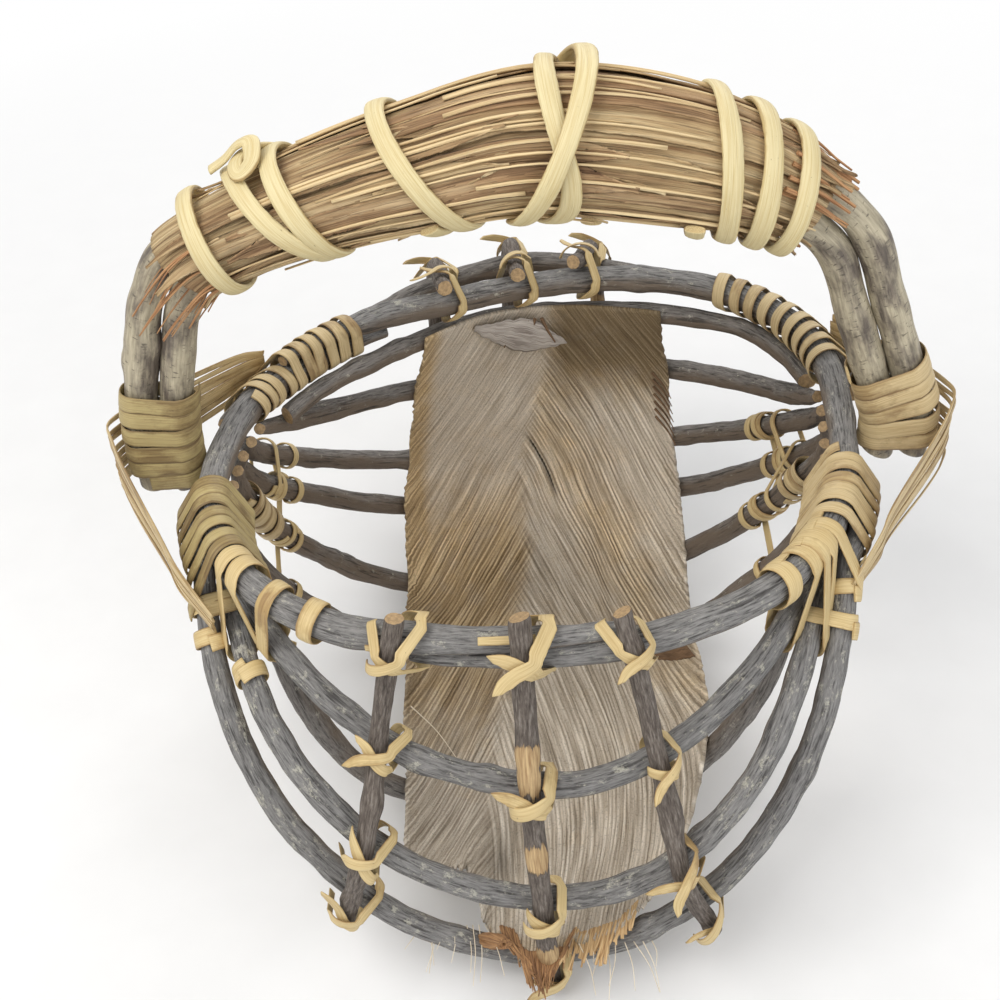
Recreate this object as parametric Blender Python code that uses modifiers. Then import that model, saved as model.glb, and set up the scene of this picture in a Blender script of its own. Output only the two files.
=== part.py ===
"""A twig basket: a hoop rim, bowed ribs that meet at two ears, upright stakes, a palm sheath lining,
an arched handle with a bark grip, and split cane that lashes all of it together.

Everything is in metres. X runs from ear to ear, Y from front to back and Z up. Shapes are worked out
about the middle of the rim, and each object is then placed so that the origin of the scene lies on the
worn flat under the middle floor rib, where the basket stands.
"""
import math
from collections import namedtuple

import bmesh
import bpy
import numpy as np

# Rim hoop, seen from above
RIM_HALF_WIDTH = 0.124
RIM_HALF_DEPTH = 0.112
RIM_SQUARENESS = 2.35
RIM_LEAN = 0.11
RIM_RADIUS = 0.0056
RIM_TIP_RADIUS = 0.0024
# The scarf joints, as degrees of the hoop from the right ear towards the back
FRONT_SCARF = (-111, -76)
BACK_SCARF = (122, 150)
SCARF_RUN_OUT = 12

# Ribs
RIB_RADIUS = 0.0045
WHITTLED_RADIUS = 0.0040
RIB_TIP_RADIUS = 0.0024
TAPER_LENGTH = 0.035
FLOOR_DROP = 0.155
FLOOR_RUN = 0.030
WORN_FLAT = 0.0005
BOUND_LENGTH = 0.055
# How far out and up from the rim's middle the back upper rib lies, at the left ear and at the right
INSIDE_LEFT = (-0.0080, -0.0125)
INSIDE_RIGHT = (-0.0040, -0.0130)

# Stakes, front and back
STAKE_RADIUS = 0.0034
STAKE_TOP_ABOVE_RIM = 0.017
STAKE_BELOW_LOWEST_RIB = 0.009
BACK_STAKE_REACH_IN = 0.013
BACK_STAKE_TILT = 0.3
STAKE_ABOVE_FLOOR = 0.001

# Handle and grip
HANDLE_RADIUS = 0.0065
HANDLE_RISE = 0.132
HANDLE_FOOT_BELOW_RIM = 0.012
GRIP_END_RADIUS = 0.0165
GRIP_MIDDLE_RADIUS = 0.0245
GRIP_LEFT = -0.122
GRIP_RIGHT = 0.102
GRIP_THICK_END = 1.7

# Palm sheath lining
LINER_THICKNESS = 0.0016
# Half widths to the left and to the right, at shares of its length from its back edge to its front edge
LINER_STATIONS = (0.0, 0.43, 0.86, 1.0)
LINER_LEFT = (0.050, 0.0695, 0.064, 0.062)
LINER_RIGHT = (0.064, 0.0775, 0.072, 0.049)
LINER_TOP_BELOW_RIM = 0.0105
LINER_LIP = 0.013
# The lip's left end, the notch that clears the middle stake, and the lip's right end, as X
LIP_EDGES = (-0.022, -0.009, 0.009, 0.042)

# Split cane: strips wound round rods
CANE_THICKNESS = 0.0012
CANE_EASE = 0.0006
WRAP_WIDTH = 0.0045
FOOT_WIDTH = 0.0060
FOOT_PITCH = 0.0076
FOOT_TURNS = 5.3
FOOT_START = 0.25
FOOT_LASHING_ABOVE_TIP = 0.006
# First and last angle from the ear, and turns
FRONT_WRAP = (-10.5, -31, 6.7)
BACK_WRAPS = {"left": (17, 50, 9.6), "right": (20, 52, 8.6)}
WRAP_START = 0.3
LASHING_WIDTH = 0.0037
LASHING_EASE = 0.0010
LASHING_TURNS = 1.4
LASHING_SLANT = 47
# Shares of the way round between which a crossed lashing turns to its other slant, and climbs over itself
LASHING_CROSSES = (0.38, 0.62)
LASHING_CLIMBS = (0.3, 0.7)
TIE_WIDTH = 0.0065
TIE_THICKNESS = 0.0024
TIE_EASE = 0.0002

# Cane laced from rib to rib, wound on one rib, and drawn round the outside of each foot
LACE_RADIUS = 0.0009
LACE_SHIFT = 0.0034
LACE_TAIL = 0.026
LACE_TAIL_OUT = 0.6
LACE_FROM_TIP = 0.085
LACE_FROM_HIGHEST_TIP = 0.080
INNER_WINDING = (0.024, 0.068)
INNER_TURNS = 4.7
INNER_START = 0.1
BAND_THICKNESS = 0.0010
BAND_STRIPS = 4
BAND_GAP_SHARE = 0.3
# Across the rim the strips keep to an angle from the ear, and lie so far out of the wraps. On the foot they
# lie so far behind its middle. Then the height of their middle and half their height.
BAND_FRONT = ((-28, 0.0020, -0.009, 0.006), (-22, 0.0040, -0.006, 0.009))
BAND_FOOT = ((-0.008, 0.000, 0.014), (0.008, 0.002, 0.014))
BAND_BACK = ((24, 0.0030, -0.002, 0.009), (32, 0.0, -0.004, 0.006))

# Clearances between pieces that touch, and between rods bound into one bundle
SEAT_GAP = 0.0004
BUNDLE_GAP = 0.0006
# How far to each side a rod's direction is taken
LOOK_AHEAD = 0.005
# How far from a winding's own place it looks for the rods that it goes round
WINDING_REACH = 0.032
# How far a chain of straight runs may stray from a smooth curve
CURVE_TOLERANCE = 0.0004
ROD_TOLERANCE = 0.0008
WINDING_TOLERANCE = 0.0007
LASHING_TOLERANCE = 0.0008
TIE_TOLERANCE = 0.0011
# The share of a turn after which a strip's gap to itself is measured
NEXT_TURN = 0.6

UP = np.array([0.0, 0.0, 1.0])
RIGHT, LEFT = 1, -1

Rod = namedtuple("Rod", "points radii")
Seat = namedtuple("Seat", "first last out up")
Rib = namedtuple("Rib", "name reach drop slope seat pulls bellies spread dive")


def unit(vector):
    return vector / np.linalg.norm(vector)


def hoop_point(angle):
    """A point of the rim's centreline, by its angle in plan from the right ear towards the back."""
    c, s = math.cos(angle), math.sin(angle)
    size = (abs(c) ** RIM_SQUARENESS + abs(s) ** RIM_SQUARENESS) ** (-1 / RIM_SQUARENESS)
    # The back of the hoop was bent by hand: it bulges on the right and is drawn in on the left.
    size *= 1 + RIM_LEAN * math.sin(2 * angle) * (1 + s) / 2
    return np.array([RIM_HALF_WIDTH * c * size, RIM_HALF_DEPTH * s * size, 0.0])


def hoop_frame(angle):
    """The point, the outward direction and the direction of travel at one angle of the rim."""
    along = unit(hoop_point(angle + 0.01) - hoop_point(angle - 0.01))
    return hoop_point(angle), np.array([along[1], -along[0], 0.0]), along


def beside_hoop(angle, out, up):
    point, outward, _ = hoop_frame(angle)
    return point + out * outward + up * UP


def ear_angle(side, degrees):
    """The rim's angle so many degrees behind an ear, or in front of it where negative."""
    angle = math.radians(degrees)
    return angle if side == RIGHT else math.pi - angle


def smooth_path(controls, count):
    """A Catmull-Rom curve through the controls, as points at even distances."""
    controls = np.array(controls)
    ends = np.vstack([2 * controls[0] - controls[1], controls, 2 * controls[-1] - controls[-2]])
    t = np.linspace(0, 1, 16, endpoint=False)[:, None]
    fine = []
    for a, b, c, d in zip(ends, ends[1:], ends[2:], ends[3:]):
        bend = (2 * a - 5 * b + 4 * c - d) * t**2 + (3 * b - a - 3 * c + d) * t**3
        fine.append(0.5 * (2 * b + (c - a) * t + bend))
    return even_path(np.vstack(fine + [controls[-1:]]), count)


def lengths_along(points):
    return np.concatenate([[0], np.cumsum(np.linalg.norm(np.diff(points, axis=0), axis=1))])


def even_path(points, count):
    lengths = lengths_along(points)
    wanted = np.linspace(0, lengths[-1], count)
    return np.stack([np.interp(wanted, lengths, points[:, k]) for k in range(3)], axis=1)


def bezier(start, pull, push, end, count=16):
    t = np.linspace(0, 1, count)[:, None]
    return (1 - t) ** 3 * start + 3 * (1 - t) ** 2 * t * pull + 3 * (1 - t) * t**2 * push + t**3 * end


def tapered(points, tip, full, length):
    """Radii that grow from each tip to the rod's full radius over a length."""
    lengths = lengths_along(points)
    from_end = np.minimum(lengths, lengths[-1] - lengths)
    return full - (full - tip) * np.clip(1 - from_end / length, 0, 1)


def at_x(rod, x):
    """The point and direction of a rod where it crosses a plane square to X."""
    order = np.argsort(rod.points[:, 0])
    points = rod.points[order]
    point = np.array([np.interp(x, points[:, 0], points[:, k]) for k in range(3)])
    near = np.array([np.interp(x - LOOK_AHEAD, points[:, 0], points[:, k]) for k in range(3)])
    far = np.array([np.interp(x + LOOK_AHEAD, points[:, 0], points[:, k]) for k in range(3)])
    return point, unit(far - near)


def along_rod(rod, distance, side):
    """The point and direction of a rod at a distance from its left or right end, towards its middle."""
    lengths = lengths_along(rod.points)
    wanted = distance if side == LEFT else lengths[-1] - distance
    point, ahead, behind = (
        np.array([np.interp(wanted + step, lengths, rod.points[:, k]) for k in range(3)])
        for step in (0.0, LOOK_AHEAD, -LOOK_AHEAD)
    )
    return point, unit(ahead - behind) * -side


def sections_of(rods, origin, normal, reach):
    """Where a plane cuts each rod near the origin: centre, half axes, their directions and the rod's."""
    found = []
    for rod in rods:
        heights = (rod.points - origin) @ normal
        best = None
        for i in np.nonzero(heights[:-1] * heights[1:] <= 0)[0]:
            if heights[i] == heights[i + 1]:
                continue
            share = heights[i] / (heights[i] - heights[i + 1])
            centre = rod.points[i] + share * (rod.points[i + 1] - rod.points[i])
            distance = np.linalg.norm(centre - origin)
            if distance < reach and (best is None or distance < best[0]):
                best = (distance, i, share, centre)
        if best is None:
            continue
        _, i, share, centre = best
        radius = rod.radii[i] + share * (rod.radii[i + 1] - rod.radii[i])
        direction = unit(rod.points[i + 1] - rod.points[i])
        lean = max(abs(direction @ normal), 0.3)
        across = np.cross(direction, normal)
        if np.linalg.norm(across) < 1e-6:
            across = np.cross(normal, UP + 0.5 * normal[::-1])
        across = unit(across)
        found.append((centre, radius, across, radius / lean, unit(np.cross(normal, across)), direction))
    return found


def hull_point(sections, direction):
    """The point of the rods' outline that lies furthest in a direction, and the way out of that rod."""
    best = None
    for centre, short, across, long, along, rod_way in sections:
        a, b = short * (direction @ across), long * (direction @ along)
        reach = math.hypot(a, b)
        if best is None or centre @ direction + reach > best[0]:
            offset = (short * a * across + long * b * along) / reach
            best = (centre @ direction + reach, centre + offset, unit(offset - (offset @ rod_way) * rod_way))
    return best[1], best[2]


def evened(rows, span):
    """Each row averaged with its neighbours, so that a strip turns smoothly from rod to rod."""
    padded = np.vstack([rows[:1]] * span + [rows] + [rows[-1:]] * span)
    summed = sum(padded[k : k + len(rows)] for k in range(2 * span + 1))
    return summed / np.linalg.norm(summed, axis=1)[:, None]


def kept_points(points, tolerance):
    """The places in a path that a chain of straight runs needs to stay within a tolerance of it."""
    keep = {0, len(points) - 1}
    spans = [(0, len(points) - 1)]
    while spans:
        first, last = spans.pop()
        if last - first < 2:
            continue
        run = points[last] - points[first]
        offsets = points[first + 1 : last] - points[first]
        share = np.clip(offsets @ run / max(run @ run, 1e-12), 0, 1)
        errors = np.linalg.norm(offsets - share[:, None] * run, axis=1)
        worst = int(errors.argmax())
        if errors[worst] > tolerance:
            middle = first + 1 + worst
            keep.add(middle)
            spans += [(first, middle), (middle, last)]
    return sorted(keep)


def no_lift(share):
    return 0.0


def wind(rods, frame_at, turns, start, tolerance, reach, lift=no_lift, steps=36):
    """The path of a strip wound round rods: points on its inner face, outward and width directions.

    frame_at gives the origin, the normal and the zero direction of the winding's plane at a share of the
    way through, and lift how far the strip has climbed off the rods there. start is the place on the first
    turn, as a share of it from the zero direction.
    """
    places, outwards, lifts = [], [], []
    count = int(round(turns * steps))
    for k in range(count + 1):
        share = k / count
        origin, normal, zero = frame_at(share)
        side = np.cross(normal, zero)
        angle = 2 * math.pi * (start + turns * share)
        direction = math.cos(angle) * zero + math.sin(angle) * side
        place_of, outward = hull_point(sections_of(rods, origin, normal, reach), direction)
        places.append(place_of)
        outwards.append(outward)
        lifts.append(SEAT_GAP + tolerance + lift(share))
    outwards = evened(np.array(outwards), 2)
    places = np.array(places) + np.array(lifts)[:, None] * outwards
    widths = evened(np.cross(np.gradient(places, axis=0), outwards), 1)
    keep = kept_points(places, tolerance)
    return places[keep], outwards[keep], widths[keep]


def strip_rings(path, width, thickness):
    """Four corners at each place of a wound strip."""
    places, outwards, widths = path
    half = 0.5 * width * widths
    top = thickness * outwards
    return np.stack([places - half, places + half, places + half + top, places - half + top], axis=1)


def own_gap(rings, apart):
    """The least distance between places of a strip that lie at least so far apart along it."""
    centres = rings.mean(axis=1)
    lengths = lengths_along(centres)
    least = math.inf
    samples = np.concatenate([rings, 0.5 * (rings + np.roll(rings, -1, axis=1))], axis=1)
    for i in range(len(rings)):
        for j in range(i + 1, len(rings)):
            if lengths[j] - lengths[i] > apart:
                gaps = np.linalg.norm(samples[i][:, None] - samples[j][None], axis=2)
                least = min(least, float(gaps.min()))
    return least


def material(name, colour, roughness):
    made = bpy.data.materials.new(name)
    made.use_nodes = True
    shader = made.node_tree.nodes["Principled BSDF"]
    shader.inputs["Base Color"].default_value = (*colour, 1.0)
    shader.inputs["Roughness"].default_value = roughness
    shader.inputs["Metallic"].default_value = 0.0
    return made


def place(name, data, finish):
    """Links an object whose data is about the rim's middle, so that the basket stands on the origin."""
    data.materials.append(finish)
    made = bpy.data.objects.new(name, data)
    made.location = RIM_CENTRE
    basket.objects.link(made)
    return made


def add_rod(name, rod, finish, bevel_resolution=2):
    """A twig: a curve with its own radius at each point and closed ends."""
    curve = bpy.data.curves.new(name, "CURVE")
    curve.dimensions = "3D"
    curve.bevel_depth = 1.0
    curve.bevel_resolution = bevel_resolution
    curve.use_fill_caps = True
    spline = curve.splines.new("POLY")
    spline.points.add(len(rod.points) - 1)
    for point, place_of, radius in zip(spline.points, rod.points, rod.radii):
        point.co = (*place_of, 1.0)
        point.radius = radius
    spline.use_smooth = True
    return place(name, curve, finish)


def add_loft(name, rings, finish, looped=False):
    """Skins a row of rings that have the same number of corners, and closes it at its ends or in a loop."""
    mesh = bpy.data.meshes.new(name)
    shape = bmesh.new()
    rows = [[shape.verts.new(corner) for corner in ring] for ring in rings]
    for row, following in zip(rows, rows[1:] + (rows[:1] if looped else [])):
        for k in range(len(row)):
            shape.faces.new((row[k - 1], row[k], following[k], following[k - 1]))
    if not looped:
        shape.faces.new(rows[0])
        shape.faces.new(rows[-1])
    bmesh.ops.recalc_face_normals(shape, faces=shape.faces)
    shape.to_mesh(mesh)
    shape.free()
    return place(name, mesh, finish)


def add_strip(name, path, width, thickness, finish, turn):
    """A wound strip, with its least gap to itself printed in millimetres."""
    rings = strip_rings(path, width, thickness)
    gap = own_gap(rings, NEXT_TURN * turn)
    if math.isfinite(gap):
        print(f"{name}: least gap to itself {gap * 1000:.2f} mm")
    return add_loft(name, rings, finish)


# Clear the scene, and make the collection
for old in list(bpy.data.objects):
    bpy.data.objects.remove(old, do_unlink=True)
basket = bpy.data.collections.new("twig_basket")
bpy.context.scene.collection.children.link(basket)

BARK = material("grey_brown_bark", (0.19, 0.165, 0.145), 0.75)
DARK_BARK = material("dark_twig_bark", (0.13, 0.10, 0.08), 0.75)
HANDLE_BARK = material("smooth_pale_bark", (0.30, 0.27, 0.22), 0.65)
CANE = material("split_cane", (0.62, 0.48, 0.27), 0.55)
PALE_CANE = material("pale_round_cane", (0.70, 0.60, 0.36), 0.5)
SHEATH = material("palm_sheath", (0.30, 0.235, 0.165), 0.85)
GRIP_BARK = material("palm_bark_roll", (0.47, 0.31, 0.19), 0.8)

# Where a rib's ends lie beside the rim, at the left ear and at the right: from one angle to another
# behind the ear, or in front of it where negative, and how far out and up. The front ribs lie in one
# bundle under the rim, stacked like logs.
BUNDLE_STEP = 2 * WHITTLED_RADIUS + BUNDLE_GAP
UNDER_RIM = RIM_RADIUS + WHITTLED_RADIUS + BUNDLE_GAP
NESTED = BUNDLE_STEP * math.sin(math.radians(60)) + BUNDLE_GAP
TIP_OFF_RIM = (RIM_RADIUS + RIB_TIP_RADIUS + BUNDLE_GAP) * math.sqrt(0.5)
SECOND_ROW = -UNDER_RIM - BUNDLE_STEP
UPPER_SLOT = (Seat(-8, -35, 0.0, -UNDER_RIM),) * 2
MIDDLE_SLOT = (Seat(-8, -28, 0.0, SECOND_ROW), Seat(-8, -33, 0.0, SECOND_ROW))
OUTER_SLOT = (Seat(-8, -27, BUNDLE_STEP, -UNDER_RIM), Seat(-8, -32, BUNDLE_STEP, -UNDER_RIM))
INNER_SLOT = (Seat(-8, -34, -NESTED, -UNDER_RIM - BUNDLE_STEP / 2),) * 2
BACK_OUT, BACK_DOWN = 0.84 * UNDER_RIM, 0.68 * UNDER_RIM
BACK_SLOT = (Seat(13, 40, BACK_OUT, -BACK_DOWN), Seat(15, 53.5, BACK_OUT, -BACK_DOWN))
INSIDE_SLOT = (Seat(24, 46, *INSIDE_LEFT), Seat(24, 46, *INSIDE_RIGHT))


def tip_slot(degrees):
    """A rib's whittled tip against the inner, lower side of the rim."""
    return (Seat(degrees, degrees, -TIP_OFF_RIM, -TIP_OFF_RIM),) * 2


# reach is how far the rib's middle lies behind the rim's, as a share of the rim's half depth, and drop how
# far below it, as a share of the floor's drop. slope turns the middle in plan. pulls and bellies are the
# lengths of its curve's handles, left then right, at the seat and at the middle, as shares of the rim's
# half width. It leaves its seat so many degrees outwards, by spread, and downwards, by dive.
RIBS = (
    Rib("front_rib_upper", -1.16, 0.342, -0.07, UPPER_SLOT, (0.56, 0.31), (0.25, 0.39), 0, 32),
    Rib("front_rib_middle", -1.26, 0.684, -0.02, MIDDLE_SLOT, (0.90, 0.80), (0.22, 0.36), 16, 16),
    Rib("front_rib_lower", -1.24, 0.942, 0.05, OUTER_SLOT, (0.99, 0.98), (0.23, 0.25), 22, 40),
    Rib("floor_rib_front", -0.50, 1.0, 0.0, INNER_SLOT, (0.36, 0.47), (0.46, 0.26), 19, 42),
    Rib("floor_rib_middle", 0.214, 1.0, 0.0, tip_slot(-6), (0.62, 0.484), (0.242, 0.218), 20, 0),
    Rib("floor_rib_back", 0.688, 1.0, 0.0, tip_slot(-1), (0.50, 0.355), (0.484, 0.242), 13, 0),
    Rib("back_rib_lowest", 1.027, 0.884, 0.05, tip_slot(4), (0.653, 0.581), (0.452, 0.492), 24, 0),
    Rib("back_rib_lower", 1.107, 0.690, 0.08, tip_slot(9), (0.685, 0.419), (0.685, 0.597), 18, 0),
    Rib("back_rib_middle", 1.116, 0.368, 0.10, tip_slot(14), (0.323, 0.484), (0.484, 0.726), 0, 15),
    Rib("back_rib_upper", 1.054, 0.123, 0.09, INSIDE_SLOT, (0.161, 0.202), (0.323, 0.323), 0, 6),
    Rib("back_rib_outer", 1.241, 0.026, 0.10, BACK_SLOT, (0.323, 0.177), (0.323, 0.177), 0, 0),
)
FLOOR_RIBS = ("floor_rib_front", "floor_rib_middle", "floor_rib_back")
STANDING_RIB = RIBS[4]
RIM_HEIGHT = FLOOR_DROP + RIB_RADIUS - WORN_FLAT
RIM_CENTRE = (0.0, -STANDING_RIB.reach * RIM_HALF_DEPTH, RIM_HEIGHT)
SEAT_STATIONS = 6


def half_rib(rib, side):
    """Points from the tip of a rib at one ear to its middle."""
    hand = 0 if side == LEFT else 1
    seat = rib.seat[hand]
    bound = seat.first != seat.last
    stations = np.linspace(seat.first, seat.last, SEAT_STATIONS if bound else 1)
    seated = [beside_hoop(ear_angle(side, degrees), seat.out, seat.up) for degrees in stations]
    run = FLOOR_RUN if rib.name in FLOOR_RIBS else 0.0
    end = np.array([run * side, rib.reach * RIM_HALF_DEPTH, -rib.drop * FLOOR_DROP])
    across = unit(np.array([1.0, rib.slope, 0.0])) * side
    spread, dive = math.radians(rib.spread), math.radians(rib.dive)
    if bound:
        _, outward, along = hoop_frame(ear_angle(side, seat.last))
        leaving = along * side * math.copysign(math.cos(spread), seat.last) + outward * math.sin(spread)
    else:
        leaving = end - seated[-1]
        leaving[0] = 0.0
        leaving = unit(leaving) * math.cos(spread) + np.array([side * math.sin(spread), 0.0, 0.0])
    heading = unit(leaving * math.cos(dive) - UP * math.sin(dive))
    start = seated[-1]
    pull = start + rib.pulls[hand] * RIM_HALF_WIDTH * heading
    bow = bezier(start, pull, end + rib.bellies[hand] * RIM_HALF_WIDTH * across, end)
    return seated[:-1] + list(bow)


def rib_rod(rib):
    path = np.array(half_rib(rib, LEFT) + half_rib(rib, RIGHT)[::-1])
    points = path[kept_points(path, ROD_TOLERANCE)]
    if rib.seat[0].first == rib.seat[0].last:
        return Rod(points, tapered(points, RIB_TIP_RADIUS, RIB_RADIUS, TAPER_LENGTH))
    lengths = lengths_along(points)
    free = np.minimum(lengths, lengths[-1] - lengths) - BOUND_LENGTH
    growth = np.clip(free / TAPER_LENGTH, 0, 1)
    return Rod(points, WHITTLED_RADIUS + (RIB_RADIUS - WHITTLED_RADIUS) * growth)


def rim_rod(stations, tapers, lifts):
    """One rod of the hoop. tapers and lifts give its radius and its height at some of its angles."""
    points, radii = [], []
    for degrees in stations:
        point = hoop_point(math.radians(degrees))
        points.append(point + np.interp(degrees, *lifts) * UP)
        radii.append(np.interp(degrees, *tapers))
    return Rod(np.array(points), np.array(radii))


def rim_rods():
    """Two tapered rods whose ends lie over each other at the front and under the left back wrap."""
    front_start, front_end = FRONT_SCARF
    back_start, back_end = BACK_SCARF
    turn = 360
    front = np.linspace(front_start, front_end, 6)
    right_side = np.linspace(front_end, back_start, 21)
    back = np.linspace(back_start, back_end, 5)
    left_side = np.linspace(back_end, front_start + turn, 11)
    full, tip = RIM_RADIUS, RIM_TIP_RADIUS
    far, near = full + BUNDLE_GAP / 2, tip + BUNDLE_GAP / 2
    right_knots = (front_start, front_end, back_start, back_end)
    right = rim_rod(
        np.concatenate([front[:-1], right_side, back[1:]]),
        (right_knots, (tip, full, full, tip)),
        (
            (
                front_start,
                front_end,
                front_end + SCARF_RUN_OUT,
                back_start - SCARF_RUN_OUT,
                back_start,
                back_end,
            ),
            (-far, -near, 0, 0, near, far),
        ),
    )
    left_knots = (back_start, back_end, front_start + turn, front_end + turn)
    left = rim_rod(
        np.concatenate([back, left_side[1:], front[1:] + turn]),
        (left_knots, (tip, full, full, tip)),
        (
            (
                back_start,
                back_end,
                back_end + SCARF_RUN_OUT,
                front_start + turn - SCARF_RUN_OUT,
                front_start + turn,
                front_end + turn,
            ),
            (-far, -near, 0, 0, near, far),
        ),
    )
    return right, left


# The handle stands outside the rim, with room for the cane that binds its two rods together.
CANE_ROOM = 2 * SEAT_GAP + WINDING_TOLERANCE + CANE_THICKNESS
HANDLE_APART = 2 * HANDLE_RADIUS + BUNDLE_GAP
FOOT_OUT = RIM_RADIUS + CANE_ROOM + HANDLE_RADIUS + HANDLE_APART / 2
# The arch between the feet: shares of the half span and of the rise
HANDLE_ARCH = (
    (-1.0, 0.06),
    (-0.985, 0.22),
    (-0.950, 0.40),
    (-0.905, 0.57),
    (-0.810, 0.715),
    (-0.533, 0.850),
    (-0.228, 0.945),
    (0.070, 1.0),
    (0.430, 0.925),
    (0.665, 0.805),
    (0.810, 0.660),
    (0.880, 0.450),
    (0.950, 0.230),
    (1.0, 0.06),
)


def handle_rods():
    """The arch's centreline, and the two rods that lie side by side along it."""
    half_span = hoop_point(0.0)[0] + FOOT_OUT
    foot = -HANDLE_FOOT_BELOW_RIM
    shape = [(-half_span, 0.0, foot)]
    shape += [(half_span * across, 0.0, HANDLE_RISE * rise) for across, rise in HANDLE_ARCH]
    shape += [(half_span, 0.0, foot)]
    fine = smooth_path(shape, 240)
    centre = fine[kept_points(fine, CURVE_TOLERANCE)]
    along = np.gradient(centre, axis=0)
    outward = np.stack([-along[:, 2], along[:, 1], along[:, 0]], axis=1)
    outward /= np.linalg.norm(outward, axis=1)[:, None]
    radii = np.full(len(centre), HANDLE_RADIUS)
    offset = HANDLE_APART / 2 * outward
    return fine, Rod(centre + offset, radii), Rod(centre - offset, radii)


rods = {rib.name: rib_rod(rib) for rib in RIBS}
rods["rim_rod_right"], rods["rim_rod_left"] = rim_rods()
handle_line, rods["handle_rod_outer"], rods["handle_rod_inner"] = handle_rods()
RIM = (rods["rim_rod_right"], rods["rim_rod_left"])

# Stakes: where each crosses the rods, from the first crossing to the last, as shares of the half width
FRONT_STAKES = {
    "front_stake_left": (-0.395, -0.590),
    "front_stake_middle": (-0.048, -0.016),
    "front_stake_right": (0.242, 0.455),
}
BACK_STAKES = {
    "back_stake_left": (-0.290, -0.331),
    "back_stake_middle": (-0.024, -0.081),
    "back_stake_right": (0.210, 0.371),
}
FRONT_CROSSED = ("rim", "front_rib_upper", "front_rib_middle", "front_rib_lower")
BACK_CROSSED = ("rim", "back_rib_outer", "back_rib_middle", "back_rib_lower", "back_rib_lowest")
BASKET_HEART = np.array([0.0, 0.0, -0.5 * FLOOR_DROP])


def rim_at_x(x, back):
    """The rim's centreline at its front or back, where it crosses a plane square to X."""
    spread = np.radians(np.linspace(30, 150, 121)) * (1 if back else -1)
    points = np.array([hoop_point(angle) for angle in spread])
    order = np.argsort(points[:, 0])
    point = np.array([np.interp(x, points[order, 0], points[order, k]) for k in range(3)])
    nearest = spread[order][np.abs(points[order, 0] - x).argmin()]
    along = hoop_frame(nearest)[2]
    return point, along if along[0] > 0 else -along


def stake_path(xs, crossed, back):
    """A stake's control points, and its crossings: the rod's point and direction and the way out."""
    places = []
    for k, name in enumerate(crossed):
        x = (xs[0] + (xs[1] - xs[0]) * k / (len(crossed) - 1)) * RIM_HALF_WIDTH
        if name == "rim":
            places.append((*rim_at_x(x, back), RIM_RADIUS))
        else:
            places.append((*at_x(rods[name], x), RIB_RADIUS))
    centres = [place[0] for place in places]
    controls, crossings = [], []
    for k, (point, along, radius) in enumerate(places):
        before = centres[max(k - 1, 0)]
        after = centres[min(k + 1, len(centres) - 1)]
        out = unit(np.cross(along, after - before))
        if k == 0 and back:
            out = unit(out + BACK_STAKE_TILT * UP)
        if out @ (point - BASKET_HEART) < 0:
            out = -out
        controls.append(point + out * (radius + STAKE_RADIUS + SEAT_GAP + CURVE_TOLERANCE))
        crossings.append((point, along, out))
    return controls, crossings


def stake_rod(name, xs, crossed, back):
    controls, crossings = stake_path(xs, crossed, back)
    first = unit(controls[0] - controls[1])
    last = unit(controls[-1] - controls[-2])
    top = controls[0] + (BACK_STAKE_REACH_IN if back else STAKE_TOP_ABOVE_RIM) * first
    bottom = controls[-1] + STAKE_BELOW_LOWEST_RIB * last
    if back:
        # The stake bends down behind the outer rib.
        bottom[2] = max(bottom[2], STAKE_RADIUS + STAKE_ABOVE_FLOOR - RIM_HEIGHT)
    path = smooth_path([top] + controls + [bottom], 80)
    points = path[kept_points(path, CURVE_TOLERANCE / 2)]
    return Rod(points, np.full(len(points), STAKE_RADIUS)), crossings


crossings = {}
for name, xs in FRONT_STAKES.items():
    rods[name], crossings[name] = stake_rod(name, xs, FRONT_CROSSED, False)
for name, xs in BACK_STAKES.items():
    rods[name], crossings[name] = stake_rod(name, xs, BACK_CROSSED, True)


def add_worn_rod(name, rod, finish):
    """A floor rib, whose underside is worn flat where the basket stands."""
    curve = add_rod(name, rod, finish)
    bpy.context.view_layer.update()
    graph = bpy.context.evaluated_depsgraph_get()
    mesh = bpy.data.meshes.new_from_object(curve.evaluated_get(graph))
    bpy.data.objects.remove(curve)
    shape = bmesh.new()
    shape.from_mesh(mesh)
    bmesh.ops.remove_doubles(shape, verts=shape.verts, dist=0.00001)
    ground = (0.0, 0.0, -RIM_HEIGHT)
    everything = shape.verts[:] + shape.edges[:] + shape.faces[:]
    down = (0.0, 0.0, -1.0)
    cut = bmesh.ops.bisect_plane(shape, geom=everything, plane_co=ground, plane_no=down, clear_outer=True)
    rim = [item for item in cut["geom_cut"] if isinstance(item, bmesh.types.BMEdge)]
    bmesh.ops.holes_fill(shape, edges=rim)
    bmesh.ops.recalc_face_normals(shape, faces=shape.faces)
    shape.to_mesh(mesh)
    shape.free()
    mesh.materials.clear()
    return place(name, mesh, finish)


for name, rod in rods.items():
    if name in FLOOR_RIBS:
        add_worn_rod(name, rod, BARK)
    elif "handle" in name:
        add_rod(name, rod, HANDLE_BARK)
    elif "stake" in name:
        add_rod(name, rod, DARK_BARK, 1)
    else:
        add_rod(name, rod, BARK)


# The grip: a roll of palm bark round the middle of the handle, thickest right of the middle
def share_at_x(x):
    lengths = lengths_along(handle_line)
    return float(np.interp(x, handle_line[:, 0], lengths)) / lengths[-1]


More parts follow.
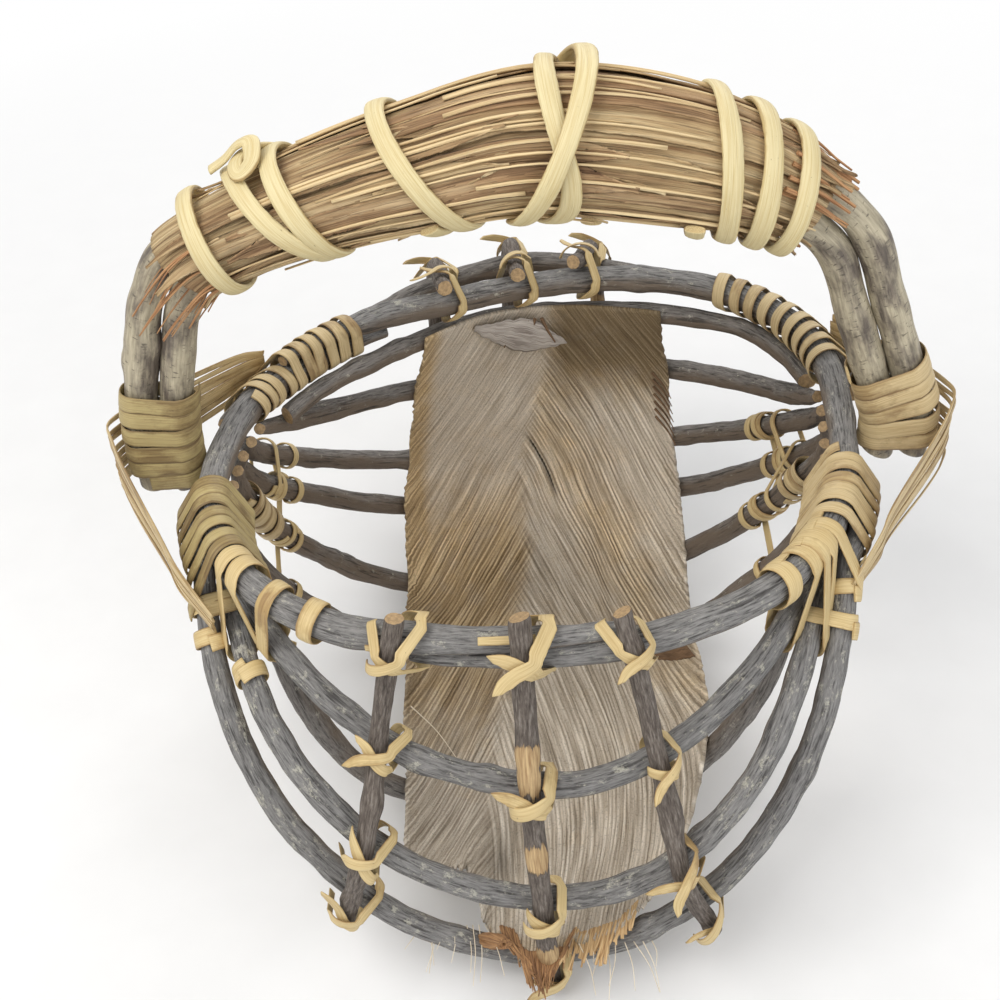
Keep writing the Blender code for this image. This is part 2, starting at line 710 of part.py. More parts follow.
def handle_frame(share):
    """The arch's point, its direction and the way up out of it, at a share of its length."""
    lengths = lengths_along(handle_line)
    here = [np.interp(share * lengths[-1], lengths, handle_line[:, k]) for k in range(3)]
    ahead = [np.interp((share + 0.01) * lengths[-1], lengths, handle_line[:, k]) for k in range(3)]
    behind = [np.interp((share - 0.01) * lengths[-1], lengths, handle_line[:, k]) for k in range(3)]
    along = unit(np.array(ahead) - np.array(behind))
    return np.array(here), along, np.array([-along[2], 0.0, along[0]])


def grip_frame(u):
    start, end = share_at_x(GRIP_LEFT), share_at_x(GRIP_RIGHT)
    return handle_frame(start + (end - start) * u)


def grip_radius(u):
    swell = math.sin(math.pi * min(max(u, 0.0), 1.0) ** GRIP_THICK_END)
    return GRIP_END_RADIUS + (GRIP_MIDDLE_RADIUS - GRIP_END_RADIUS) * swell


GRIP_STATIONS = np.linspace(0, 1, 15)
GRIP_SIDES = 12
FRONT_TO_BACK = np.array([0.0, 1.0, 0.0])


def grip_rings():
    """Rings down the outside of the roll, and back up the bore that fits the two handle rods."""
    step = 2 * math.pi / GRIP_SIDES
    hold = (HANDLE_RADIUS + SEAT_GAP + 2 * CURVE_TOLERANCE) / math.cos(step / 2)
    apart = HANDLE_APART / 2
    outer, bore = [], []
    for u in GRIP_STATIONS:
        centre, along, up = grip_frame(u)
        angles = [(k + 0.5) * step for k in range(GRIP_SIDES)]
        around = [math.cos(angle) * up + math.sin(angle) * FRONT_TO_BACK for angle in angles]
        outer.append([centre + grip_radius(u) * way for way in around])
        bore.append([centre + hold * way + math.copysign(apart, way @ up) * up for way in around])
    return outer + bore[::-1]


add_loft("grip_bark_roll", grip_rings(), GRIP_BARK, looped=True)
roll_line = np.array([grip_frame(u)[0] for u in GRIP_STATIONS])
roll = Rod(roll_line, np.array([grip_radius(u) for u in GRIP_STATIONS]))

# Ties round the grip: the number of turns, where on the first turn each starts, and keys that give the
# share of the winding, the place along the grip and the slant in degrees.
GRIP_TIES = {
    "grip_tie_left_end": (2.9, 0.55, ((0.0, 0.033, -12), (0.4, 0.09, -8), (0.62, 0.21, 14), (1.0, 0.23, 14))),
    "grip_tie_left_middle": (1.3, 0.35, ((0.0, 0.373, 22), (1.0, 0.428, 22))),
    "grip_tie_crossed": (2.0, 0.42, ((0.0, 0.62, 23), (0.4, 0.62, 23), (0.6, 0.59, -28), (1.0, 0.59, -28))),
    "grip_tie_right_spiral": (3.3, 0.35, ((0.0, 0.800, 18), (0.88, 0.965, 14), (1.0, 0.972, 14))),
}
# The crossed tie climbs over its own first turn on top of the grip, and comes down again.
OVER_TIE = TIE_THICKNESS + CANE_EASE
TIE_CLIMB = ((0.0, 0.50, 0.64, 0.92, 1.0), (0.0, 0.0, OVER_TIE, OVER_TIE, 0.0))


def tie_path(name):
    turns, start, keys = GRIP_TIES[name]
    shares, places, slants = zip(*keys)

    def frame_at(share):
        centre, along, up = grip_frame(float(np.interp(share, shares, places)))
        slant = math.radians(float(np.interp(share, shares, slants)))
        normal = math.cos(slant) * along + math.sin(slant) * up
        return centre, normal, math.cos(slant) * up - math.sin(slant) * along

    def lift(share):
        climb = np.interp(share, *TIE_CLIMB) if name == "grip_tie_crossed" else 0.0
        return TIE_EASE + float(climb)

    return wind([roll], frame_at, turns, start, TIE_TOLERANCE, 2 * GRIP_MIDDLE_RADIUS, lift)


for name in GRIP_TIES:
    add_strip(name, tie_path(name), TIE_WIDTH, TIE_THICKNESS, PALE_CANE, 2 * math.pi * GRIP_MIDDLE_RADIUS)


# Lashings that bind each foot of the handle, wraps round the rim and the ribs beside it
def foot_lashing(side):
    inner, outer = rods["handle_rod_inner"], rods["handle_rod_outer"]
    lengths = lengths_along(handle_line)
    low = FOOT_LASHING_ABOVE_TIP
    high = low + (FOOT_TURNS * FOOT_PITCH)

    def frame_at(share):
        along_foot = (low + (high - low) * share) / lengths[-1]
        centre, along, up = handle_frame(along_foot if side == LEFT else 1 - along_foot)
        return centre, along * -side, up

    return wind([inner, outer], frame_at, FOOT_TURNS, FOOT_START, WINDING_TOLERANCE, WINDING_REACH)


def hoop_wrap(side, first, last, turns, bound):
    """Cane wound round the rim and what lies beside it, from one angle to another."""

    def frame_at(share):
        point, outward, along = hoop_frame(ear_angle(side, first + (last - first) * share))
        return point, along * side * math.copysign(1, last), outward

    wrapped = list(RIM) + [rods[name] for name in bound]
    return wind(wrapped, frame_at, turns, WRAP_START, WINDING_TOLERANCE, WINDING_REACH)


BUNDLED = ("front_rib_upper", "front_rib_middle", "front_rib_lower", "floor_rib_front")
for side, hand in ((LEFT, "left"), (RIGHT, "right")):
    turn = 2 * math.pi * HANDLE_RADIUS
    add_strip(f"foot_lashing_{hand}", foot_lashing(side), FOOT_WIDTH, CANE_THICKNESS, CANE, turn)
    front = hoop_wrap(side, *FRONT_WRAP, BUNDLED)
    add_strip(f"front_wrap_{hand}", front, WRAP_WIDTH, CANE_THICKNESS, CANE, turn)
    back = hoop_wrap(side, *BACK_WRAPS[hand], ("back_rib_outer",))
    add_strip(f"back_wrap_{hand}", back, WRAP_WIDTH, CANE_THICKNESS, CANE, turn)


# Crossed lashings where stakes meet the rim and the ribs
def crossed_lashing(stake, bound, crossing):
    """One strip that goes over the stake one way, behind the rod, and over the stake the other way."""
    point, along, out = crossing
    stake_way = unit(np.cross(along, out))
    rod_way = unit(np.cross(out, stake_way))
    climb = CANE_THICKNESS + CANE_EASE

    def frame_at(share):
        slant = math.radians(float(np.interp(share, LASHING_CROSSES, (-LASHING_SLANT, LASHING_SLANT))))
        return point, math.cos(slant) * rod_way + math.sin(slant) * stake_way, out

    def lift(share):
        return LASHING_EASE + climb * float(np.interp(share, LASHING_CLIMBS, (0.0, 1.0)))

    start = 0.5 - LASHING_TURNS / 2
    return wind([stake] + bound, frame_at, LASHING_TURNS, start, LASHING_TOLERANCE, WINDING_REACH, lift)


# Each lashed rod, and its name in the name of the lashing. Nothing was seen of those behind the lining.
LASHED = {
    "front": {
        "rim": "rim",
        "front_rib_upper": "upper_rib",
        "front_rib_middle": "middle_rib",
        "front_rib_lower": "lower_rib",
    },
    "back": {"rim": "rim", "back_rib_outer": "outer_rib", "back_rib_lowest": "lowest_rib"},
}
for stake_name, found in crossings.items():
    face = stake_name.split("_")[0]
    crossed = FRONT_CROSSED if face == "front" else BACK_CROSSED
    for rod_name, crossing in zip(crossed, found):
        if rod_name not in LASHED[face]:
            continue
        bound = list(RIM) if rod_name == "rim" else [rods[rod_name]]
        path = crossed_lashing(rods[stake_name], bound, crossing)
        name = stake_name.replace("stake_", "") + "_lashing_" + LASHED[face][rod_name]
        add_strip(name, path, LASHING_WIDTH, CANE_THICKNESS, CANE, 2 * math.pi * STAKE_RADIUS)


# A winding on one rib near the left ear
def inner_winding(rod):
    first, last = INNER_WINDING

    def frame_at(share):
        point, along = along_rod(rod, first + (last - first) * share, LEFT)
        return point, along, unit(np.cross(along, FRONT_TO_BACK))

    return wind([rod], frame_at, INNER_TURNS, INNER_START, WINDING_TOLERANCE, WINDING_REACH)


turn = 2 * math.pi * RIB_RADIUS
add_strip("inner_winding_left", inner_winding(rods["floor_rib_back"]), FOOT_WIDTH, CANE_THICKNESS, CANE, turn)

# Lacing near each ear: one loop round each of these ribs, at a distance from its tip
LACED = (
    ("back_rib_lower", LACE_FROM_HIGHEST_TIP),
    ("back_rib_lowest", LACE_FROM_TIP),
    ("floor_rib_back", LACE_FROM_TIP),
    ("floor_rib_middle", LACE_FROM_TIP),
)
LOOP_SIDES = 8


def lacing(side):
    """A cord that loops once round each rib and crosses to the next on the outside."""
    size = (RIB_RADIUS + LACE_RADIUS + SEAT_GAP) / math.cos(math.pi / LOOP_SIDES)
    places = [along_rod(rods[name], distance, side) for name, distance in LACED]
    cord = []
    for k, (point, along) in enumerate(places):
        onward = places[min(k + 1, len(places) - 1)][0] - places[max(k - 1, 0)][0]
        out = unit(np.cross(along, onward))
        if out @ (point - BASKET_HEART) < 0:
            out = -out
        across = np.cross(along, out)
        if across @ onward < 0:
            across = -across
        drift = math.copysign(LACE_SHIFT, onward @ along)
        for step in range(LOOP_SIDES + 1):
            share = step / LOOP_SIDES
            angle = 2 * math.pi * share
            ring = math.cos(angle) * out + math.sin(angle) * across
            cord.append(point + size * ring + drift * (share - 0.5) * along)
    tail = unit(along + across + LACE_TAIL_OUT * out)
    cord.append(cord[-1] + LACE_TAIL * tail)
    return np.array(cord)


def cord_gap(cord, apart):
    """The least distance between the surfaces of a cord's runs that lie so far apart along it."""
    fine = even_path(cord, 400)
    lengths = lengths_along(fine)
    far = np.abs(lengths[:, None] - lengths[None]) > apart
    gaps = np.linalg.norm(fine[:, None] - fine[None], axis=2)
    return float(gaps[far].min()) - 2 * LACE_RADIUS


for side, hand in ((LEFT, "left"), (RIGHT, "right")):
    cord = lacing(side)
    print(f"rib_lacing_{hand}: least gap to itself {cord_gap(cord, turn / 2) * 1000:.2f} mm")
    add_rod(f"rib_lacing_{hand}", Rod(cord, np.full(len(cord), LACE_RADIUS)), CANE, 0)


# Sheets: the bands outside each foot, and the palm sheath
def add_sheet(name, rows, kept, thickness, finish):
    """A grid of points with the cells that are kept, thickened on the side its rows and columns turn to."""
    mesh = bpy.data.meshes.new(name)
    shape = bmesh.new()
    corners = [[shape.verts.new(point) for point in row] for row in rows]
    for r in range(len(corners) - 1):
        for c in range(len(corners[r]) - 1):
            if kept(r, c):
                shape.faces.new((corners[r][c], corners[r + 1][c], corners[r + 1][c + 1], corners[r][c + 1]))
    loose = [corner for corner in shape.verts if not corner.link_faces]
    bmesh.ops.delete(shape, geom=loose, context="VERTS")
    shape.to_mesh(mesh)
    shape.free()
    made = place(name, mesh, finish)
    solid = made.modifiers.new("Thickness", "SOLIDIFY")
    solid.thickness = thickness
    solid.offset = 1.0
    return made


BAND_OUT = BUNDLE_STEP + WHITTLED_RADIUS + 2 * SEAT_GAP + WINDING_TOLERANCE + CANE_THICKNESS
FOOT_FACE = FOOT_OUT + HANDLE_APART / 2 + HANDLE_RADIUS + 2 * SEAT_GAP + WINDING_TOLERANCE + CANE_THICKNESS


def outer_band(side):
    """Rows of points of the strips that run from wrap to wrap round the outside of a foot."""
    face = side * (hoop_point(0.0)[0] + FOOT_FACE + SEAT_GAP)
    stations = [
        (beside_hoop(ear_angle(side, degrees), BAND_OUT + out, 0.0), middle, half)
        for degrees, out, middle, half in BAND_FRONT
    ]
    stations += [(np.array([face, behind, 0.0]), middle, half) for behind, middle, half in BAND_FOOT]
    stations += [
        (beside_hoop(ear_angle(side, degrees), BAND_OUT + out, 0.0), middle, half)
        for degrees, out, middle, half in BAND_BACK
    ]
    rows = []
    pitch = 2 / (BAND_STRIPS - BAND_GAP_SHARE)
    for point, middle, half in stations:
        heights = []
        for k in range(BAND_STRIPS):
            heights += [-1 + k * pitch, -1 + (k + 1 - BAND_GAP_SHARE) * pitch]
        row = [point + (middle + half * height) * UP for height in heights]
        rows.append(row if side == RIGHT else row[::-1])
    return rows


for side, hand in ((LEFT, "left"), (RIGHT, "right")):
    band_rows = outer_band(side)
    last_cell = len(band_rows) - 2
    add_sheet(
        f"outer_band_{hand}", band_rows, lambda r, c: c % 2 == 0 or r in (0, last_cell), BAND_THICKNESS, CANE
    )

# The lining lies on these ribs, further off those that are lashed to the stakes.
FREE_LIFT = SEAT_GAP + CURVE_TOLERANCE
HALF_CLIMB = (CANE_THICKNESS + CANE_EASE) / 2
LASHED_LIFT = 2 * SEAT_GAP + LASHING_TOLERANCE + LASHING_EASE + CANE_THICKNESS + HALF_CLIMB
LINED = (
    ("back_rib_upper", FREE_LIFT),
    ("back_rib_middle", FREE_LIFT),
    ("back_rib_lower", FREE_LIFT),
    ("back_rib_lowest", LASHED_LIFT),
    ("floor_rib_back", FREE_LIFT),
    ("floor_rib_middle", FREE_LIFT),
    ("floor_rib_front", FREE_LIFT),
    ("front_rib_lower", LASHED_LIFT),
)


def liner_x(share, along):
    """Where a column of the lining lies: share across its width, at a share of its length."""
    left = np.interp(along, LINER_STATIONS, LINER_LEFT)
    right = np.interp(along, LINER_STATIONS, LINER_RIGHT)
    return -left + (left + right) * share


def liner_column(share):
    """Points of the lining's underside from its back edge to the tip of its front lip."""
    centres, ways = [], []
    for k, (name, lift) in enumerate(LINED):
        point, way = at_x(rods[name], liner_x(share, k / (len(LINED) - 1)))
        centres.append(point)
        ways.append(way)
    column = []
    for k, (name, lift) in enumerate(LINED):
        before, after = centres[max(k - 1, 0)], centres[min(k + 1, len(LINED) - 1)]
        inward = unit(np.cross(after - before, ways[k]))
        column.append(centres[k] + (RIB_RADIUS + lift) * inward)
    climb = column[0] - column[1]
    column.insert(0, column[0] + climb * (-LINER_TOP_BELOW_RIM - column[0][2]) / climb[2])
    ends = [2 * column[0] - column[1]] + column + [2 * column[-1] - column[-2]]
    points = []
    for a, b, c, d in zip(ends, ends[1:], ends[2:], ends[3:]):
        points += [b, (9 * (b + c) - a - d) / 16]
    points.append(column[-1])
    points.append(points[-1] + LINER_LIP * unit(points[-1] - points[-2]))
    return points


lip_shares = [(x + LINER_LEFT[-1]) / (LINER_LEFT[-1] + LINER_RIGHT[-1]) for x in LIP_EDGES]
lip_start, notch_start, notch_end, lip_end = lip_shares
liner_shares = [0.0, lip_start / 2, lip_start, (lip_start + notch_start) / 2, notch_start, notch_end]
liner_shares += [(2 * notch_end + lip_end) / 3, (notch_end + 2 * lip_end) / 3, lip_end, 1.0]
liner_rows = list(zip(*[liner_column(share) for share in liner_shares]))
lip_row = len(liner_rows) - 2
lip_cells = [
    c
    for c, share in enumerate(liner_shares)
    if lip_start <= share < notch_start or notch_end <= share < lip_end
]
add_sheet(
    "palm_sheath_liner", liner_rows, lambda r, c: r < lip_row or c in lip_cells, LINER_THICKNESS, SHEATH
)
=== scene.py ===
import math

import bmesh
import bpy
import numpy as np
from mathutils import Matrix, Vector, noise


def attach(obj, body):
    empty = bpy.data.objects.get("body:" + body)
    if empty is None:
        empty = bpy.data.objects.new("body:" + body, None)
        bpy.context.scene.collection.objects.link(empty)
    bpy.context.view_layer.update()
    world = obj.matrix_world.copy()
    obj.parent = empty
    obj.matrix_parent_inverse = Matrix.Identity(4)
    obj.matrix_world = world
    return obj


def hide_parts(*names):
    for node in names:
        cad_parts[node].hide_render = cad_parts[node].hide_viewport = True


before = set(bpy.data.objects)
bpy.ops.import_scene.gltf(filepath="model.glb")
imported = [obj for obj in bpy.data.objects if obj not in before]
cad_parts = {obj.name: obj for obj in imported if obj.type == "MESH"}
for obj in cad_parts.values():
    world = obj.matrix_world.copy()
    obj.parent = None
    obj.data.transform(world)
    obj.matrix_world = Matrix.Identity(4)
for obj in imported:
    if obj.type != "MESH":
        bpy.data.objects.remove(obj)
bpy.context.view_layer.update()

# --- The hoop of the rim ---
# Two tapered twigs bent into one hoop, their thin ends laid over each other at the front and at the
# back left. The bark was left on: weathered grey on top, with lichen, and browner and darker where it faces down and
# into the basket, part weathering and part painted shade.
RIM_HALF_WIDTH = 0.124
RIM_HALF_DEPTH = 0.112
RIM_CENTRE = np.array([0.0, -0.214 * RIM_HALF_DEPTH, 0.159])
RIM_SQUARENESS = 2.35
RIM_LEAN = 0.11
RIM_RADIUS = 0.0056
RIM_TIP_RADIUS = 0.0024
FRONT_SCARF = (-111, -76)
BACK_SCARF = (122, 150)
SCARF_RUN_OUT = 12
BUNDLE_GAP = 0.0006
UP = np.array([0.0, 0.0, 1.0])
RIGHT, LEFT = 1, -1


def unit(vector):
    return vector / np.linalg.norm(vector)


def hoop_point(angle):
    """A point of the rim's centreline, by its angle in plan from the right ear towards the back."""
    c, s = math.cos(angle), math.sin(angle)
    size = (abs(c) ** RIM_SQUARENESS + abs(s) ** RIM_SQUARENESS) ** (-1 / RIM_SQUARENESS)
    size *= 1 + RIM_LEAN * math.sin(2 * angle) * (1 + s) / 2
    return np.array([RIM_HALF_WIDTH * c * size, RIM_HALF_DEPTH * s * size, 0.0])


def hoop_frame(angle):
    """The point, the outward direction and the direction of travel at one angle of the rim."""
    along = unit(hoop_point(angle + 0.01) - hoop_point(angle - 0.01))
    return hoop_point(angle), np.array([along[1], -along[0], 0.0]), along


def lengths_along(points):
    return np.concatenate([[0], np.cumsum(np.linalg.norm(np.diff(points, axis=0), axis=1))])


def sampled(points, values, wanted):
    """Rows of values at wanted lengths along a route."""
    lengths = lengths_along(points)
    values = np.asarray(values, dtype=float)
    if values.ndim == 1:
        return np.interp(wanted, lengths, values)
    return np.stack([np.interp(wanted, lengths, values[:, k]) for k in range(values.shape[1])], axis=1)


def noisy(places, scale, seed=0.0):
    """Smooth noise from -1 to 1 at each place, with features about 1 / scale across."""
    shifted = np.asarray(places) * scale + seed
    return np.array([noise.noise(Vector(place)) for place in shifted])


def carried_frames(points):
    """Directions along a route, and two across it that turn as little as they can."""
    along = np.gradient(points, axis=0)
    along /= np.linalg.norm(along, axis=1)[:, None]
    side = unit(np.cross(along[0], UP if abs(along[0][2]) < 0.9 else np.array([0.0, 1.0, 0.0])))
    sides = []
    for way in along:
        side = unit(side - (side @ way) * way)
        sides.append(side)
    sides = np.array(sides)
    return along, sides, np.cross(along, sides)


def tube(name, stations, around, place_at):
    """A closed tube from a cylinder. place_at turns station numbers and turns (0 to 1) into points."""
    shape = bmesh.new()
    bmesh.ops.create_cone(
        shape, cap_ends=True, cap_tris=False, segments=around, radius1=1.0, radius2=1.0, depth=2.0
    )
    lengthwise = [edge for edge in shape.edges if abs(edge.verts[0].co.z - edge.verts[1].co.z) > 1.0]
    bmesh.ops.subdivide_edges(shape, edges=lengthwise, cuts=stations - 2, use_grid_fill=True)
    corners = np.array([corner.co[:] for corner in shape.verts])
    rows = np.rint((corners[:, 2] + 1) / 2 * (stations - 1)).astype(int)
    turns = np.mod(np.arctan2(corners[:, 1], corners[:, 0]) / (2 * math.pi), 1.0)
    moved, grain, wear_tone_and_shade = place_at(rows, turns)
    mesh = bpy.data.meshes.new(name)
    for corner, place in zip(shape.verts, moved + RIM_CENTRE):
        corner.co = place
    bmesh.ops.recalc_face_normals(shape, faces=shape.faces)
    shape.to_mesh(mesh)
    shape.free()
    mesh.attributes.new("grain", "FLOAT_VECTOR", "POINT").data.foreach_set("vector", grain.ravel())
    mesh.attributes.new("wear_tone_and_shade", "FLOAT", "POINT").data.foreach_set("value", wear_tone_and_shade)
    mesh.shade_smooth()
    for face in mesh.polygons:
        if len(face.vertices) > 4:
            face.material_index = 1
            face.use_smooth = False
    return mesh


def add_piece(name, mesh, slot, finishes, *nodes):
    """Links a finished piece, which rides on the basket and stands for its CAD nodes."""
    for finish in finishes:
        mesh.materials.append(finish)
    made = bpy.data.objects.new(name, mesh)
    bpy.context.scene.collection.objects.link(made)
    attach(made, "root")
    if nodes:
        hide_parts(*nodes)
    return made


TWIG_STEP = 0.0012
BARK_RELIEF = 0.00034
KNOT_HEIGHT = 0.0011
BASKET_HEART = np.array([0.0, 0.0, -0.075])


def unit_rows(rows):
    return rows / np.linalg.norm(rows, axis=1)[:, None]


def twig_mesh(name, points, radii, seed, around=36, crook=0.0006, relief=BARK_RELIEF, knots=5, knotty=(0.1, 0.9)):
    """A crooked twig with wrinkled bark, a few knots and ends cut slightly aslant."""
    random = np.random.default_rng(seed)
    length = lengths_along(points)[-1]
    stations = int(length / TWIG_STEP)
    wanted = np.linspace(0, length, stations)
    centre = sampled(points, points, wanted)
    radius = sampled(points, radii, wanted)
    for axis in range(3):
        sway = np.stack([wanted, np.full(stations, axis * 9.1), np.full(stations, seed * 3.7)], axis=1)
        centre[:, axis] += crook * (noisy(sway * [1, 0, 0], 22, seed + axis * 9.1) * 1.3)
        centre[:, axis] += 0.4 * crook * noisy(sway * [1, 0, 0], 60, seed * 1.7 + axis * 5.3)
    along, side, across = carried_frames(centre)
    radius = radius * (1 + 0.07 * noisy(np.stack([wanted] * 3, axis=1), 34, seed * 2.3))
    knot_at = random.uniform(*knotty, knots) * length
    knot_turn = random.uniform(0, 1, knots)
    knot_height = random.uniform(0.4, 1.0, knots) * KNOT_HEIGHT
    end_lean = random.uniform(-0.35, 0.35, 2)

    def place_at(rows, turns):
        angles = 2 * math.pi * turns
        s = wanted[rows]
        r = radius[rows]
        grain = np.stack([s, r * np.cos(angles), r * np.sin(angles)], axis=1)
        wrinkles = noisy(grain * [0.16, 1.0, 1.0], 900, seed)
        ridges = 1 - 2 * np.abs(noisy(grain * [0.12, 1.0, 1.0], 480, seed + 40))
        lumps = noisy(grain, 110, seed + 80)
        bark = relief * (0.5 * wrinkles + 0.7 * ridges + 0.9 * lumps)
        for at, turn, height in zip(knot_at, knot_turn, knot_height):
            apart = np.abs(turns - turn)
            apart = np.minimum(apart, 1 - apart) * 2 * math.pi * r
            reach = np.hypot((s - at) / 1.4, apart) / 0.0034
            bark += height * np.exp(-(reach**2)) * (1 - 0.5 * np.exp(-((reach / 0.35) ** 2)))
            bark += 0.35 * height * np.exp(-(((s - at) / 0.004) ** 2))
        from_end = np.minimum(s, length - s)
        rounding = np.clip(1 - from_end / 0.0008, 0, 1) ** 2 * 0.10
        full = r * (1 - rounding) + bark
        sideways = np.cos(angles)[:, None] * side[rows] + np.sin(angles)[:, None] * across[rows]
        lean = np.where(s < length / 2, end_lean[0], -end_lean[1]) * np.clip(1 - from_end / 0.006, 0, 1)
        placed = centre[rows] + full[:, None] * sideways + (lean * full * np.cos(angles))[:, None] * along[rows]
        # Painted shade, part weathering: faces turned down and towards the basket's middle get a higher share, which
        # the bark finish paints browner and darker.
        facing_in = np.sum(sideways * unit_rows(BASKET_HEART - placed), axis=1)
        wear_tone_and_shade = np.clip(0.45 - 0.35 * sideways[:, 2] + 0.30 * facing_in, 0, 1)
        return placed, grain + seed * 0.31, wear_tone_and_shade

    return tube(name, stations, around, place_at)


def named_material(name, roughness):
    made = bpy.data.materials.new(name)
    made.use_nodes = True
    shader = made.node_tree.nodes["Principled BSDF"]
    shader.inputs["Roughness"].default_value = roughness
    return made, made.node_tree, shader


def add_node(tree, kind, settings=None, **inputs):
    """A node with its settings, and its inputs set to values or linked to other nodes' outputs."""
    made = tree.nodes.new(kind)
    for key, value in (settings or {}).items():
        setattr(made, key, value)
    for key, value in inputs.items():
        socket = made.inputs[int(key[1:])] if key[0] == "i" and key[1:].isdigit() else made.inputs[key]
        if isinstance(value, bpy.types.NodeSocket):
            tree.links.new(value, socket)
        else:
            socket.default_value = value
    return made


def grain_noise(tree, stretch, scale, detail=4.0, roughness=0.6, shift=0.0):
    """Noise on the piece's own grain: along it, and round or across it. stretch makes it longer."""
    read = add_node(tree, "ShaderNodeAttribute", {"attribute_name": "grain"})
    mapped = add_node(
        tree,
        "ShaderNodeMapping",
        None,
        Vector=read.outputs["Vector"],
        Location=(shift, shift, shift),
        Scale=(1 / stretch, 1.0, 1.0),
    )
    made = add_node(
        tree,
        "ShaderNodeTexNoise",
        None,
        Vector=mapped.outputs["Vector"],
        Scale=scale,
        Detail=detail,
        Roughness=roughness,
    )
    return made.outputs["Fac"]


def stops(tree, value, *colours):
    """A colour ramp through (place, colour) stops."""
    ramp = add_node(tree, "ShaderNodeValToRGB", None, Fac=value)
    elements = ramp.color_ramp.elements
    while len(elements) < len(colours):
        elements.new(0.5)
    for element, (place, colour) in zip(elements, colours):
        element.position = place
        element.color = (*colour, 1.0) if len(colour) == 3 else (colour[0],) * 3 + (1.0,)
    return ramp.outputs["Color"]


def mixed(tree, share, first, second, blend="MIX"):
    made = add_node(tree, "ShaderNodeMix", {"data_type": "RGBA", "blend_type": blend})
    for socket, value in ((made.inputs[0], share), (made.inputs[6], first), (made.inputs[7], second)):
        if isinstance(value, bpy.types.NodeSocket):
            tree.links.new(value, socket)
        elif isinstance(value, (int, float)):
            socket.default_value = value
        else:
            socket.default_value = (*value, 1.0)
    return made.outputs[2]


def figured(tree, operation, first, second=0.0):
    made = add_node(tree, "ShaderNodeMath", {"operation": operation})
    for socket, value in zip(made.inputs, (first, second)):
        if isinstance(value, bpy.types.NodeSocket):
            tree.links.new(value, socket)
        else:
            socket.default_value = value
    return made.outputs[0]


def finish_bump(tree, shader, height, distance, strength=1.0):
    bump = add_node(
        tree, "ShaderNodeBump", None, Height=height, Distance=distance, Strength=strength
    )
    tree.links.new(bump.outputs["Normal"], shader.inputs["Normal"])


def bark_material(name, weathered, dark, underside, lichen_share):
    """Weathered bark: lengthwise cracks, browner and darker on faces turned down and into the basket (part weathering,
    part painted shade), and patches of pale lichen, kept mostly off those faces.
    """
    made, tree, shader = named_material(name, 0.82)
    fine = grain_noise(tree, 9.0, 1500, 5.0, 0.65)
    cracks = grain_noise(tree, 14.0, 620, 4.0, 0.6, 3.0)
    patches = grain_noise(tree, 2.2, 75, 4.0, 0.6, 7.0)
    lichen = grain_noise(tree, 1.6, 260, 7.0, 0.8, 12.0)
    wear_tone_and_shade = add_node(tree, "ShaderNodeAttribute", {"attribute_name": "wear_tone_and_shade"}).outputs["Fac"]
    silver = tuple(min(1.6 * c, 1.0) for c in weathered)
    streaks = stops(tree, fine, (0.32, dark), (0.47, weathered), (0.70, silver))
    # The brown share: the attribute's painted shade on faces turned down and into the basket (part weathering), plus
    # random patches.
    worn_and_shaded = figured(tree, "MULTIPLY", figured(tree, "ADD", wear_tone_and_shade, patches), 0.62)
    brown = stops(tree, worn_and_shaded, (0.50, (0.0,)), (0.72, (1.0,)))
    colour = mixed(tree, brown, streaks, mixed(tree, fine, underside, tuple(1.8 * c for c in underside)))
    dark_lines = stops(tree, cracks, (0.35, (1.0,)), (0.44, (0.0,)))
    colour = mixed(tree, dark_lines, colour, mixed(tree, 0.75, colour, (0.030, 0.026, 0.024)))
    pale = stops(tree, lichen, (lichen_share, (0.0,)), (lichen_share + 0.08, (0.8,)))
    pale_top = figured(tree, "MULTIPLY", pale, stops(tree, wear_tone_and_shade, (0.45, (1.0,)), (0.75, (0.15,))))
    colour = mixed(tree, pale_top, colour, (0.50, 0.48, 0.40))
    tree.links.new(colour, shader.inputs["Base Color"])
    height = figured(tree, "ADD", figured(tree, "MULTIPLY", cracks, 1.4), fine)
    finish_bump(tree, shader, height, 0.0009, 0.9)
    return made


def cut_wood_material(name, colour):
    """The cut end or a bared patch of a twig: rings of pale wood with a darker middle."""
    made, tree, shader = named_material(name, 0.7)
    rings = grain_noise(tree, 30.0, 700, 3.0)
    tree.links.new(
        stops(tree, rings, (0.35, tuple(0.6 * c for c in colour)), (0.65, colour)), shader.inputs["Base Color"]
    )
    finish_bump(tree, shader, rings, 0.0004, 0.6)
    return made


rim_bark = bark_material("rim bark", (0.205, 0.198, 0.190), (0.055, 0.051, 0.050), (0.125, 0.098, 0.074), 0.56)
cut_wood = cut_wood_material("cut twig wood", (0.46, 0.31, 0.16))


def rim_route(stations, tapers, lifts):
    """Points and radii of one rod of the hoop."""
    fine = np.linspace(stations[0], stations[-1], 260)
    points = np.array([hoop_point(math.radians(degrees)) for degrees in fine])
    points[:, 2] += np.interp(fine, *lifts)
    return points, np.interp(fine, *tapers)


